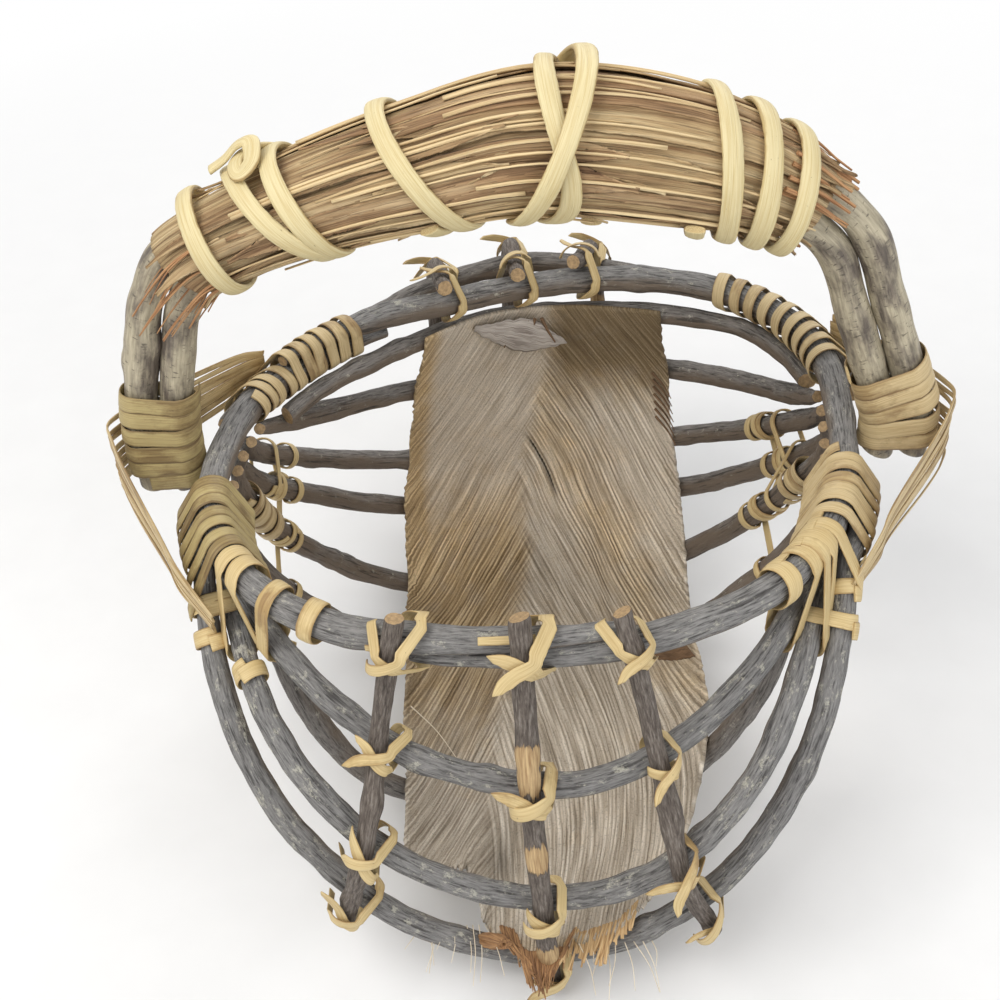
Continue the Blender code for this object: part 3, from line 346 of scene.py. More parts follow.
front_start, front_end = FRONT_SCARF
back_start, back_end = BACK_SCARF
far = RIM_RADIUS + BUNDLE_GAP / 2
near = RIM_TIP_RADIUS + BUNDLE_GAP / 2
rim_right = rim_route(
    (front_start, back_end),
    ((front_start, front_end, back_start, back_end), (RIM_TIP_RADIUS, RIM_RADIUS, RIM_RADIUS, RIM_TIP_RADIUS)),
    (
        (front_start, front_end, front_end + SCARF_RUN_OUT, back_start - SCARF_RUN_OUT, back_start, back_end),
        (-far, -near, 0, 0, near, far),
    ),
)
rim_left = rim_route(
    (back_start, front_end + 360),
    (
        (back_start, back_end, front_start + 360, front_end + 360),
        (RIM_TIP_RADIUS, RIM_RADIUS, RIM_RADIUS, RIM_TIP_RADIUS),
    ),
    (
        (
            back_start,
            back_end,
            back_end + SCARF_RUN_OUT,
            front_start + 360 - SCARF_RUN_OUT,
            front_start + 360,
            front_end + 360,
        ),
        (-far, -near, 0, 0, near, far),
    ),
)
for name, (points, radii), seed, knotty in (
    ("rim_rod_right", rim_right, 3, (0.66, 0.98)),
    ("rim_rod_left", rim_left, 8, (0.60, 0.97)),
):
    mesh = twig_mesh("hoop " + name, points, radii, seed, around=44, crook=0.0003, knotty=knotty)
    add_piece("dressed_" + name, mesh, "grey_brown_bark", (rim_bark, cut_wood), name)

# --- The ribs ---
# Eleven long twigs bowed from ear to ear. Those at the front are bound in one bundle under the rim,
# the others are whittled thin at their tips and pushed in behind it.
RIB_RADIUS = 0.0045
WHITTLED_RADIUS = 0.0040
RIB_TIP_RADIUS = 0.0024
TAPER_LENGTH = 0.035
BOUND_LENGTH = 0.055
FLOOR_DROP = 0.155
FLOOR_RUN = 0.030
BUNDLE_STEP = 2 * WHITTLED_RADIUS + BUNDLE_GAP
UNDER_RIM = RIM_RADIUS + WHITTLED_RADIUS + BUNDLE_GAP
NESTED = BUNDLE_STEP * math.sin(math.radians(60)) + BUNDLE_GAP
TIP_OFF_RIM = (RIM_RADIUS + RIB_TIP_RADIUS + BUNDLE_GAP) * math.sqrt(0.5)
BACK_OUT, BACK_DOWN = 0.84 * UNDER_RIM, 0.68 * UNDER_RIM
# A seat is the first and last degree from the ear, and how far out and up from the rim the rib lies.
SECOND_ROW = -UNDER_RIM - BUNDLE_STEP
UPPER_SLOT = ((-8, -35, 0.0, -UNDER_RIM),) * 2
MIDDLE_SLOT = ((-8, -28, 0.0, SECOND_ROW), (-8, -33, 0.0, SECOND_ROW))
OUTER_SLOT = ((-8, -27, BUNDLE_STEP, -UNDER_RIM), (-8, -32, BUNDLE_STEP, -UNDER_RIM))
INNER_SLOT = ((-8, -34, -NESTED, -UNDER_RIM - BUNDLE_STEP / 2),) * 2
BACK_SLOT = ((13, 40, BACK_OUT, -BACK_DOWN), (15, 53.5, BACK_OUT, -BACK_DOWN))
INSIDE_SLOT = ((24, 46, -0.0080, -0.0125), (24, 46, -0.0040, -0.0130))


def tip_slot(degrees):
    return ((degrees, degrees, -TIP_OFF_RIM, -TIP_OFF_RIM),) * 2


# name: reach behind the rim's middle in half depths, drop in floor drops, slope, seats, pulls and bellies
# in half widths of the rim, spread and dive in degrees
RIBS = {
    "front_rib_upper": (-1.16, 0.342, -0.07, UPPER_SLOT, (0.56, 0.31), (0.25, 0.39), 0, 32),
    "front_rib_middle": (-1.26, 0.684, -0.02, MIDDLE_SLOT, (0.90, 0.80), (0.22, 0.36), 16, 16),
    "front_rib_lower": (-1.24, 0.942, 0.05, OUTER_SLOT, (0.99, 0.98), (0.23, 0.25), 22, 40),
    "floor_rib_front": (-0.50, 1.0, 0.0, INNER_SLOT, (0.36, 0.47), (0.46, 0.26), 19, 42),
    "floor_rib_middle": (0.214, 1.0, 0.0, tip_slot(-6), (0.62, 0.484), (0.242, 0.218), 20, 0),
    "floor_rib_back": (0.688, 1.0, 0.0, tip_slot(-1), (0.50, 0.355), (0.484, 0.242), 13, 0),
    "back_rib_lowest": (1.027, 0.884, 0.05, tip_slot(4), (0.653, 0.581), (0.452, 0.492), 24, 0),
    "back_rib_lower": (1.107, 0.690, 0.08, tip_slot(9), (0.685, 0.419), (0.685, 0.597), 18, 0),
    "back_rib_middle": (1.116, 0.368, 0.10, tip_slot(14), (0.323, 0.484), (0.484, 0.726), 0, 15),
    "back_rib_upper": (1.054, 0.123, 0.09, INSIDE_SLOT, (0.161, 0.202), (0.323, 0.323), 0, 6),
    "back_rib_outer": (1.241, 0.026, 0.10, BACK_SLOT, (0.323, 0.177), (0.323, 0.177), 0, 0),
}
FLOOR_RIBS = ("floor_rib_front", "floor_rib_middle", "floor_rib_back")


def beside_hoop(angle, out, up):
    point, outward, _ = hoop_frame(angle)
    return point + out * outward + up * UP


def ear_angle(side, degrees):
    """The rim's angle so many degrees behind an ear, or in front of it where negative."""
    angle = math.radians(degrees)
    return angle if side == RIGHT else math.pi - angle


def smooth_path(controls, count):
    """A Catmull-Rom curve through the controls, as points at even distances."""
    controls = np.array(controls)
    ends = np.vstack([2 * controls[0] - controls[1], controls, 2 * controls[-1] - controls[-2]])
    t = np.linspace(0, 1, 16, endpoint=False)[:, None]
    fine = []
    for a, b, c, d in zip(ends, ends[1:], ends[2:], ends[3:]):
        bend = (2 * a - 5 * b + 4 * c - d) * t**2 + (3 * b - a - 3 * c + d) * t**3
        fine.append(0.5 * (2 * b + (c - a) * t + bend))
    points = np.vstack(fine + [controls[-1:]])
    return sampled(points, points, np.linspace(0, lengths_along(points)[-1], count))


def half_rib(name, side):
    """Points from the tip of a rib at one ear to its middle."""
    reach, drop, slope, seats, pulls, bellies, spread, dive = RIBS[name]
    hand = 0 if side == LEFT else 1
    first, last, out, up = seats[hand]
    bound = first != last
    seated = [beside_hoop(ear_angle(side, d), out, up) for d in np.linspace(first, last, 24 if bound else 1)]
    run = (FLOOR_RUN if name in FLOOR_RIBS else 0.0) * side
    end = np.array([run, reach * RIM_HALF_DEPTH, -drop * FLOOR_DROP])
    across = unit(np.array([1.0, slope, 0.0])) * side
    spread, dive = math.radians(spread), math.radians(dive)
    if bound:
        _, outward, along = hoop_frame(ear_angle(side, last))
        leaving = along * side * math.copysign(math.cos(spread), last) + outward * math.sin(spread)
    else:
        leaving = end - seated[-1]
        leaving[0] = 0.0
        leaving = unit(leaving) * math.cos(spread) + np.array([side * math.sin(spread), 0.0, 0.0])
    heading = unit(unit(leaving) * math.cos(dive) - UP * math.sin(dive))
    start = seated[-1]
    pull = start + pulls[hand] * RIM_HALF_WIDTH * heading
    push = end + bellies[hand] * RIM_HALF_WIDTH * across
    t = np.linspace(0, 1, 60)[:, None]
    bow = (1 - t) ** 3 * start + 3 * (1 - t) ** 2 * t * pull + 3 * (1 - t) * t**2 * push + t**3 * end
    return seated[:-1] + list(bow)


def rib_route(name):
    points = np.array(half_rib(name, LEFT) + half_rib(name, RIGHT)[::-1])
    lengths = lengths_along(points)
    from_end = np.minimum(lengths, lengths[-1] - lengths)
    if RIBS[name][3][0][0] == RIBS[name][3][0][1]:
        return points, RIB_RADIUS - (RIB_RADIUS - RIB_TIP_RADIUS) * np.clip(1 - from_end / TAPER_LENGTH, 0, 1)
    growth = np.clip((from_end - BOUND_LENGTH) / TAPER_LENGTH, 0, 1)
    return points, WHITTLED_RADIUS + (RIB_RADIUS - WHITTLED_RADIUS) * growth


rods = {name: rib_route(name) for name in RIBS}
rods["rim_rod_right"], rods["rim_rod_left"] = rim_right, rim_left
grey_bark = bark_material("grey rib bark", (0.190, 0.184, 0.178), (0.050, 0.046, 0.045), (0.115, 0.090, 0.068), 0.55)
brown_bark = bark_material("brown rib bark", (0.185, 0.170, 0.156), (0.050, 0.042, 0.036), (0.120, 0.092, 0.068), 0.58)
for seed, name in enumerate(RIBS):
    points, radii = rods[name]
    knotty = (0.24, 0.76) if name.startswith("front") else (0.14, 0.86)
    mesh = twig_mesh("twig " + name, points, radii, 20 + seed, knots=6, knotty=knotty)
    if name in FLOOR_RIBS:
        for corner in mesh.vertices:
            corner.co.z = max(corner.co.z, 0.0)
    finish = brown_bark if name.startswith("back") or name in FLOOR_RIBS else grey_bark
    add_piece("dressed_" + name, mesh, "grey_brown_bark", (finish, cut_wood), name)

# --- The palm sheath lining ---
# One stiff piece of the fibrous sheath that grows round a palm's trunk. It was cut square, laid inside
# over the ribs and under the rim, and its front end is left frayed beyond the last rib.
LINER_THICKNESS = 0.0016
# Half widths at shares of the way from the back edge to the lowest front rib
LINER_STATIONS = (0.0, 0.43, 0.86, 1.0)
LINER_LEFT = (0.050, 0.0695, 0.064, 0.062)
LINER_RIGHT = (0.064, 0.0775, 0.072, 0.049)
LINER_TOP_BELOW_RIM = 0.0105
CANE_THICKNESS = 0.0012
SEAT_GAP = 0.0004
# Room for the straight runs of the solid rods, and for a lashing between a rib and the sheath
ROD_ROOM = 0.0004
LASHING_ROOM = 0.0018
HALF_CLIMB = 0.0009
FREE_LIFT = SEAT_GAP + ROD_ROOM
LASHED_LIFT = 2 * SEAT_GAP + LASHING_ROOM + CANE_THICKNESS + HALF_CLIMB
LINED = (
    ("back_rib_upper", FREE_LIFT),
    ("back_rib_middle", FREE_LIFT),
    ("back_rib_lower", FREE_LIFT),
    ("back_rib_lowest", LASHED_LIFT),
    ("floor_rib_back", FREE_LIFT),
    ("floor_rib_middle", FREE_LIFT),
    ("floor_rib_front", FREE_LIFT),
    ("front_rib_lower", LASHED_LIFT),
)
LINER_COLUMNS = 300
LINER_ROWS = 164
LINER_WIDTH = 0.125
LINER_MIDDLE = 0.46
LIP_LENGTH = 0.016
LIP_WIDTH = 0.111
FIBRE_SPACING = 0.0021
TEAR_PLACE = -0.0490
# How far the sheath reaches beyond the last rib, at places across it from left to right, in millimetres
LIP_PLACES = (-60, -30, -27, -24, -15, -12, -9, 6, 9, 12, 26, 31, 42, 60)
LIP_REACH = (-25, -26, -8, 3, 4, 12, 14, 13, 5, 9, 8, 3, -12, -27)
LOOK_AHEAD = 0.005


def at_x(route, x):
    """The point and direction of a rod where it crosses a plane square to X."""
    points = route[0][np.argsort(route[0][:, 0])]
    point, near, far = (
        np.array([np.interp(x + step, points[:, 0], points[:, k]) for k in range(3)])
        for step in (0, -LOOK_AHEAD, LOOK_AHEAD)
    )
    return point, unit(far - near)


def liner_column(share):
    """Points down the sheath from its back edge to the end of its lip, at a share of its width."""
    centres, ways = [], []
    for k, (name, lift) in enumerate(LINED):
        along = k / (len(LINED) - 1)
        left = float(np.interp(along, LINER_STATIONS, LINER_LEFT))
        right = float(np.interp(along, LINER_STATIONS, LINER_RIGHT))
        point, way = at_x(rods[name], -left + (left + right) * share)
        centres.append(point)
        ways.append(way)
    column = []
    for k, (name, lift) in enumerate(LINED):
        before, after = centres[max(k - 1, 0)], centres[min(k + 1, len(LINED) - 1)]
        inward = unit(np.cross(after - before, ways[k]))
        column.append(centres[k] + (RIB_RADIUS + lift + LINER_THICKNESS / 2) * inward)
    climb = column[0] - column[1]
    column.insert(0, column[0] + climb * (-LINER_TOP_BELOW_RIM - column[0][2]) / climb[2])
    reach = 0.001 * np.interp(1000 * column[-1][0], LIP_PLACES, LIP_REACH)
    column.append(column[-1] + LIP_LENGTH * unit(column[-1] - column[-2]))
    path = smooth_path(column, 400)
    end = lengths_along(path)[-1] - LIP_LENGTH + reach
    return sampled(path, path, np.linspace(0, end, LINER_ROWS))


def chevron(sideways, down_by):
    """Coordinates across the fibres of the right half and of the left half, and the share of the right."""
    right = sideways - 0.62 * down_by + 0.80 * down_by**2
    left = sideways + 0.60 * down_by - 0.30 * down_by**2
    down_places = (0.0, 0.05, 0.10, 0.15, 0.20, 0.25, 0.30, 0.36)
    meeting = np.interp(down_by, down_places, (0.008, 0.005, -0.005, -0.002, -0.009, -0.017, -0.021, -0.018))
    return right, left, 1 / (1 + np.exp(-(sideways - meeting) / 0.0016))


def bump_at(sideways, down_by, place, size):
    """A smooth spot on the sheath, 1 in its middle, by its place across and down and its size."""
    return np.exp(-(((sideways - place[0]) / size[0]) ** 2) - ((down_by - place[1]) / size[1]) ** 2)


def rising(values, start, end):
    """0 up to start, 1 from end, and smooth between them."""
    t = np.clip((values - start) / (end - start), 0, 1)
    return t * t * (3 - 2 * t)


def sheath_tones(sideways, down_by, right, on_right):
    """How strong the fibre lines are, how ochre the sheath is, and how light, at places on it. The lightness takes
    painted shade in the buckle's dent.
    """
    band = np.exp(-(((right + 0.034) / 0.016) ** 2)) * on_right
    low_left = (1 - on_right) * rising(down_by, 0.085, 0.150)
    top_right = on_right * (1 - rising(down_by, 0.035, 0.075)) * rising(sideways, 0.0, 0.02)
    front = rising(down_by, 0.20, 0.32)
    lines = 0.12 + 0.75 * band + 0.62 * low_left + 0.55 * on_right * rising(down_by, 0.02, 0.06) * (1 - band)
    ochre = 0.08 + 0.50 * band + 0.80 * low_left * (1 - 0.6 * front) + 0.90 * top_right
    ochre += 0.9 * rising(-sideways, 0.046, 0.055) * (1 - rising(down_by, 0.14, 0.2))
    ochre -= 0.55 * front + 0.35 * rising(right, -0.012, 0.004) * rising(down_by, 0.06, 0.10)
    light = 1 - 0.45 * top_right + 0.24 * (1 - top_right) * (1 - rising(down_by, 0.12, 0.17))
    light += 0.12 * bump_at(sideways, down_by, (-0.028, 0.092), (0.014, 0.024))
    light += 0.16 * front + 0.04 * rising(sideways, 0.03, 0.06) * rising(down_by, 0.08, 0.14)
    light -= 0.28 * bump_at(sideways, down_by, (-0.004, 0.150), (0.018, 0.03))
    # Painted shade in the buckle's dent at the front left.
    light -= 0.55 * bump_at(sideways, down_by, (-0.015, 0.335), (0.006, 0.022))
    ochre += rising(down_by, 0.372, 0.384)
    light -= 0.15 * rising(down_by, 0.372, 0.384) + 0.12 * rising(down_by, 0.15, 0.19) * (1 - on_right)
    return np.clip(lines, 0, 1), np.clip(ochre, 0, 1), np.clip(light, 0, 1.4)


sheath_columns = np.array([liner_column(share) for share in np.linspace(0, 1, LINER_COLUMNS)])


def on_sheath(share, down_by, lift):
    """A place a little above the sheath's inner face, by its share across and its distance down."""
    def place_at(aside, onward):
        column = sheath_columns[int(round(np.clip(share + aside, 0, 1) * (LINER_COLUMNS - 1)))]
        return sampled(column, column, [max(down_by + onward, 0)])[0]

    down = place_at(0, 0.003) - place_at(0, -0.003)
    return place_at(0, 0) + lift * unit(np.cross(down, place_at(0.02, 0) - place_at(-0.02, 0)))


def liner_mesh():
    """The sheath's middle surface, with its fibres, its buckle, its tear and its ragged edges."""
    shape = bmesh.new()
    bmesh.ops.create_grid(shape, x_segments=LINER_COLUMNS - 1, y_segments=LINER_ROWS - 1, size=1.0)
    flat = np.array([corner.co[:] for corner in shape.verts])
    columns = np.rint((flat[:, 0] + 1) / 2 * (LINER_COLUMNS - 1)).astype(int)
    rows = np.rint((flat[:, 1] + 1) / 2 * (LINER_ROWS - 1)).astype(int)
    down = np.gradient(sheath_columns, axis=1)
    across = np.gradient(sheath_columns, axis=0)
    inward = np.cross(down, across)
    inward /= np.linalg.norm(inward, axis=2)[:, :, None]
    lengths = np.cumsum(np.linalg.norm(down, axis=2), axis=1)
    down_by = lengths[columns, rows]
    share, along = columns / (LINER_COLUMNS - 1), rows / (LINER_ROWS - 1)
    sideways = (share - LINER_MIDDLE) * LINER_WIDTH
    right, left, on_right = chevron(sideways, down_by)
    still = np.zeros(len(share))
    flat_place = np.stack([sideways, down_by, still], axis=1)
    wobble = 0.0005 * noisy(flat_place * [1, 0.4, 1], 60, 13.0) + 0.00022 * noisy(flat_place * [1, 0.5, 1], 320, 15.0)
    right, left = right + wobble, left + wobble
    lines, ochre, light = sheath_tones(sideways, down_by, right, on_right)
    ridges = on_right * np.sin(2 * math.pi * right / FIBRE_SPACING)
    ridges += (1 - on_right) * np.sin(2 * math.pi * left / FIBRE_SPACING)
    tufts = on_right * noisy(np.stack([right, down_by * 0.035, still], axis=1), 900, 2.0)
    tufts += (1 - on_right) * noisy(np.stack([left, down_by * 0.035, still], axis=1), 900, 9.0)
    lift = 0.0011 * noisy(flat_place, 24, 4.0) + 0.00016 * ridges * lines
    lift += 0.00013 * tufts * (1 + rising(down_by, 0.22, 0.30))
    # The sheath buckled at the front left: a ridge with a dent beside it.
    near_front = np.exp(-(((down_by - 0.335) / 0.026) ** 2))
    lift += 0.0052 * np.exp(-(((sideways + 0.030 + 0.3 * (down_by - 0.335)) / 0.0070) ** 2)) * near_front
    lift -= 0.0050 * np.exp(-(((sideways + 0.016) / 0.0075) ** 2)) * near_front
    # It tore along its fibres in the middle of the back: a shallow groove, painted almost black as painted shade for
    # the slit.
    tear = np.exp(-(((right - TEAR_PLACE) / 0.0011) ** 4)) * rising(down_by, 0.080, 0.092)
    tear *= 1 - rising(down_by, 0.112, 0.124)
    lift -= 0.0013 * tear
    light = light * (1 - 0.97 * tear)
    place = sheath_columns[columns, rows] + lift[:, None] * inward[columns, rows]
    # The sides were trimmed by hand, and each fibre ends at its own length.
    step = across[columns, rows] / np.linalg.norm(across[columns, rows], axis=1)[:, None]
    near_side = np.clip(1 - np.minimum(share, 1 - share) / 0.06, 0, 1)
    by_length = np.stack([down_by, np.round(share), still], axis=1)
    trim = near_side * (0.0022 * noisy(by_length, 35, 6.0) + 0.0014 * noisy(by_length, 480, 16.0))
    place = place + trim[:, None] * step
    onward = down[columns, rows] / np.linalg.norm(down[columns, rows], axis=1)[:, None]
    near_end = np.clip((along - 0.965) / 0.035, 0, 1)
    by_width = np.stack([sideways, still, still], axis=1)
    fray = near_end * (0.0036 * noisy(by_width, 420, 3.0) + 0.0036 * noisy(by_width, 1100, 5.0))
    place = place + fray[:, None] * onward
    grain = shape.verts.layers.float_vector.new("grain")
    wear_tone_and_shade = shape.verts.layers.float.new("wear_tone_and_shade")
    tones_and_shade = shape.verts.layers.float_vector.new("tones_and_shade")
    for corner, point, flow, part, tone in zip(
        shape.verts,
        place + RIM_CENTRE,
        np.stack([down_by, right, left], axis=1),
        on_right,
        np.stack([lines, ochre, light], axis=1),
    ):
        corner.co = point
        corner[grain] = flow
        corner[wear_tone_and_shade] = part
        corner[tones_and_shade] = tone
    mesh = bpy.data.meshes.new("palm sheath")
    shape.to_mesh(mesh)
    shape.free()
    mesh.shade_smooth()
    return mesh


def sheath_material():
    made, tree, shader = named_material("palm sheath", 0.88)
    grain = add_node(tree, "ShaderNodeAttribute", {"attribute_name": "grain"})
    on_right = add_node(tree, "ShaderNodeAttribute", {"attribute_name": "wear_tone_and_shade"}).outputs["Fac"]
    parts = add_node(tree, "ShaderNodeSeparateXYZ", None, Vector=grain.outputs["Vector"]).outputs
    tones_and_shade = add_node(tree, "ShaderNodeAttribute", {"attribute_name": "tones_and_shade"})
    tone = add_node(tree, "ShaderNodeSeparateXYZ", None, Vector=tones_and_shade.outputs["Vector"]).outputs
    ridges = mixed(
        tree,
        on_right,
        *(
            figured(tree, "SINE", figured(tree, "MULTIPLY", across, 2 * math.pi / FIBRE_SPACING))
            for across in (parts["Z"], parts["Y"])
        ),
    )

    def drawn_out(scale, stretch, detail, shift):
        """Noise drawn out along the fibres, on both halves of the sheath."""
        sides = []
        for across in (parts["Y"], parts["Z"]):
            stretched = figured(tree, "MULTIPLY", parts["X"], 1 / stretch)
            place = add_node(tree, "ShaderNodeCombineXYZ", None, X=across, Y=stretched, Z=shift)
            made_noise = add_node(
                tree, "ShaderNodeTexNoise", None, Vector=place.outputs["Vector"], Scale=scale, Detail=detail
            )
            sides.append(made_noise.outputs["Fac"])
        return mixed(tree, on_right, sides[1], sides[0])

    coarse = drawn_out(800, 34.0, 4.0, 0.1)
    fine = drawn_out(2600, 40.0, 3.0, 0.7)
    blotch = add_node(
        tree, "ShaderNodeTexNoise", None, Vector=grain.outputs["Vector"], Scale=60.0, Detail=6.0, Roughness=0.7
    ).outputs["Fac"]
    specks = add_node(
        tree, "ShaderNodeTexNoise", None, Vector=grain.outputs["Vector"], Scale=1100.0, Detail=4.0
    ).outputs["Fac"]
    lined = figured(tree, "MULTIPLY", figured(tree, "MULTIPLY", ridges, tone["X"]), 0.085)
    depth = figured(tree, "ADD", figured(tree, "MULTIPLY", tone["X"], 0.6), 0.5)
    coarse = figured(tree, "ADD", figured(tree, "MULTIPLY", figured(tree, "SUBTRACT", coarse, 0.5), depth), 0.5)
    height = figured(tree, "ADD", coarse, lined)
    grey = stops(tree, height, (0.32, (0.245, 0.20, 0.145)), (0.49, (0.455, 0.39, 0.31)), (0.68, (0.72, 0.65, 0.55)))
    ochre = stops(tree, height, (0.32, (0.14, 0.085, 0.036)), (0.49, (0.37, 0.26, 0.135)), (0.66, (0.74, 0.57, 0.34)))
    share = figured(tree, "ADD", tone["Y"], figured(tree, "MULTIPLY", figured(tree, "SUBTRACT", blotch, 0.5), 1.2))
    colour = mixed(tree, stops(tree, share, (0.05, (0.0,)), (0.95, (1.0,))), grey, ochre)
    threads = stops(tree, fine, (0.30, (0.74,)), (0.5, (0.97,)), (0.72, (1.14,)))
    colour = mixed(tree, 1.0, colour, threads, "MULTIPLY")
    dusty = stops(tree, specks, (0.36, (0.60,)), (0.46, (1.0,)))
    colour = mixed(tree, 0.7, colour, dusty, "MULTIPLY")
    shade = add_node(tree, "ShaderNodeCombineXYZ", None, X=tone["Z"], Y=tone["Z"], Z=tone["Z"])
    colour = mixed(tree, 1.0, colour, shade.outputs["Vector"], "MULTIPLY")
    tree.links.new(colour, shader.inputs["Base Color"])
    finish_bump(tree, shader, figured(tree, "ADD", figured(tree, "MULTIPLY", height, 1.6), fine), 0.0005, 0.9)
    return made


palm_sheath = sheath_material()
sheath = add_piece("dressed_palm_sheath", liner_mesh(), "palm_sheath", (palm_sheath,), "palm_sheath_liner")
body = sheath.modifiers.new("Thickness", "SOLIDIFY")
body.thickness = LINER_THICKNESS
body.offset = 0.0


FIBRE_STATIONS = 22
FIBRE_AROUND = 7


def fibre_mesh(name, controls, radius, tip, seed):
    """A fibre through a few points, which gets thinner towards its free end."""
    path = smooth_path(controls, FIBRE_STATIONS)
    _, side, across = carried_frames(path)

    def place_at(rows, turns):
        angles = 2 * math.pi * turns
        size = radius * (1 + (tip - 1) * rows / (FIBRE_STATIONS - 1))
        ring = np.cos(angles)[:, None] * side[rows] + np.sin(angles)[:, None] * across[rows]
        grain = np.stack([rows * 0.001, size * np.cos(angles), size * np.sin(angles)], axis=1)
        return path[rows] + size[:, None] * ring, grain + 0.3 * seed, np.full(len(rows), 0.3)

    return tube(name, FIBRE_STATIONS, FIBRE_AROUND, place_at)


def joined(name, pieces):
    """Several meshes as one."""
    made = [bpy.data.objects.new(name, mesh) for mesh in pieces]
    for one in made:
        bpy.context.scene.collection.objects.link(one)
    with bpy.context.temp_override(active_object=made[0], selected_editable_objects=made, selected_objects=made):
        bpy.ops.object.join()
    mesh = made[0].data
    bpy.data.objects.remove(made[0])
    return mesh


def fibre_material(name, pale, dark):
    made, tree, shader = named_material(name, 0.8)
    streaks = grain_noise(tree, 20.0, 1500, 3.0)
    tree.links.new(stops(tree, streaks, (0.35, dark), (0.6, pale)), shader.inputs["Base Color"])
    finish_bump(tree, shader, streaks, 0.0003, 0.7)
    return made


def add_fibres(name, fibres, slot, finish):
    """Loose fibres as one piece: for each its points, its radius and its tip's share of that."""
    meshes = [fibre_mesh(f"{name} {k}", *fibre, k) for k, fibre in enumerate(fibres)]
    add_piece(name, joined(name, meshes), slot, (finish, finish))


def beyond_lip(share, inward, onward, aside, sag):
    """Points of a fibre that starts on the sheath's lip and goes on beyond it."""
    column = sheath_columns[int(round(share * (LINER_COLUMNS - 1)))]
    way = unit(column[-1] - column[-6])
    end = column[-1] + onward * way + [aside, 0.0, -sag]
    return [column[-1] - inward * way + 0.0008 * UP, column[-1] + 0.4 * onward * way + [0.4 * aside, 0.0, 0.0], end]


STEM_SIZES = (0.0003, 0.0009)
LONGEST_RUST = 0.013
KNOB_MIDDLE = np.array([-0.0225, -0.1430, -0.1310])
KNOB_LEAN = np.array([0.0040, -0.0035, 0.0035])
KNOB_STRAND = 0.0013
HAIR_RADIUS = 0.00022
LONG_HAIR_RADIUS = 0.0003
SPLINTER_RADIUS = 0.0007
TORN_BIT_RADIUS = 0.0009
fray = np.random.default_rng(31)
straw_fibres, rust_fibres, brown_splinters, hairs = [], [], [], []
# Straw bundles that stand out beyond the lip, right of the middle stake
for share in fray.uniform(0.63, 0.90, 60):
    onward = fray.uniform(0.002, 0.012) * (1 if 0.68 < share < 0.82 else 0.5)
    points = beyond_lip(share, 0.006, onward, fray.uniform(-0.002, 0.001), 0.3 * onward)
    straw_fibres.append((points, fray.uniform(*STEM_SIZES), 0.8))
# A torn rust-brown layer round the stake's foot, and a knob of the same left of it
for share in fray.uniform(0.34, 0.68, 110):
    onward = fray.uniform(0.003, LONGEST_RUST)
    aside = -0.5 * LIP_WIDTH * (share - 0.54) * onward / LONGEST_RUST + fray.uniform(-0.002, 0.002)
    points = beyond_lip(share, 0.005, onward, aside, fray.uniform(0.0, 0.007))
    rust_fibres.append((points, fray.uniform(*STEM_SIZES), 0.4))
for turn in np.linspace(0, 2 * math.pi, 30, endpoint=False):
    ring = np.array([math.cos(turn), 0.0, math.sin(turn)]) * fray.uniform(0.0022, 0.0042)
    points = [KNOB_MIDDLE - KNOB_LEAN + 0.5 * ring, KNOB_MIDDLE + ring, KNOB_MIDDLE + KNOB_LEAN + 0.6 * ring]
    rust_fibres.append((points, KNOB_STRAND, 0.7))
# Fine pale hairs at both sides of the lip, and a long one that hangs from the left stake
for x in np.concatenate([np.linspace(-0.052, -0.026, 12), np.linspace(0.010, 0.038, 9)]):
    start = np.array([x, -0.136 if x < 0 else -0.146, -0.1300])
    end = start + [fray.uniform(-0.006, 0.008), fray.uniform(-0.024, -0.008), fray.uniform(-0.012, 0.002)]
    hairs.append(([start, (start + end) / 2 + [0.001, 0, 0.001], end], HAIR_RADIUS, 0.6))
points = [on_sheath(share, down_by, 0.003) for share, down_by in ((0.0, 0.238), (0.09, 0.252), (0.18, 0.272))]
hairs.append((points, LONG_HAIR_RADIUS, 0.5))
# Brown splinters on the right edge near the back, and torn bits at the top
for down_by in np.linspace(0.046, 0.070, 7):
    points = [on_sheath(share, down_by + step, 0.001) for share, step in ((0.95, -0.004), (0.99, 0.002), (1.0, 0.009))]
    points[2] = points[2] + [0.0018, 0.0, 0.0]
    brown_splinters.append((points, SPLINTER_RADIUS, 0.3))
for share, lean in ((0.36, -0.03), (0.40, 0.02), (0.44, 0.05), (0.50, 0.06), (0.47, -0.02)):
    points = [on_sheath(share + lean * t, 0.004 + 0.014 * t, 0.0035 + 0.002 * t) for t in (0.0, 0.5, 1.0)]
    brown_splinters.append((points, TORN_BIT_RADIUS, 0.4))
straw_colour = fibre_material("sheath straw", (0.62, 0.43, 0.22), (0.36, 0.21, 0.09))
add_fibres("frayed_straw", straw_fibres, "palm_sheath", straw_colour)
rust_colour = fibre_material("sheath rust", (0.40, 0.22, 0.095), (0.14, 0.065, 0.03))
add_fibres("frayed_rust", rust_fibres, "palm_sheath", rust_colour)
brown_edge = fibre_material("brown sheath edge", (0.22, 0.13, 0.07), (0.09, 0.05, 0.025))
add_fibres("brown_splinters", brown_splinters, "palm_sheath", brown_edge)
hair_colour = fibre_material("sheath hair", (0.78, 0.70, 0.56), (0.62, 0.52, 0.38))
add_fibres("fine_hairs", hairs, "palm_sheath", hair_colour)
FLAP_THICKNESS = 0.0007
FLAP_ROWS = 80


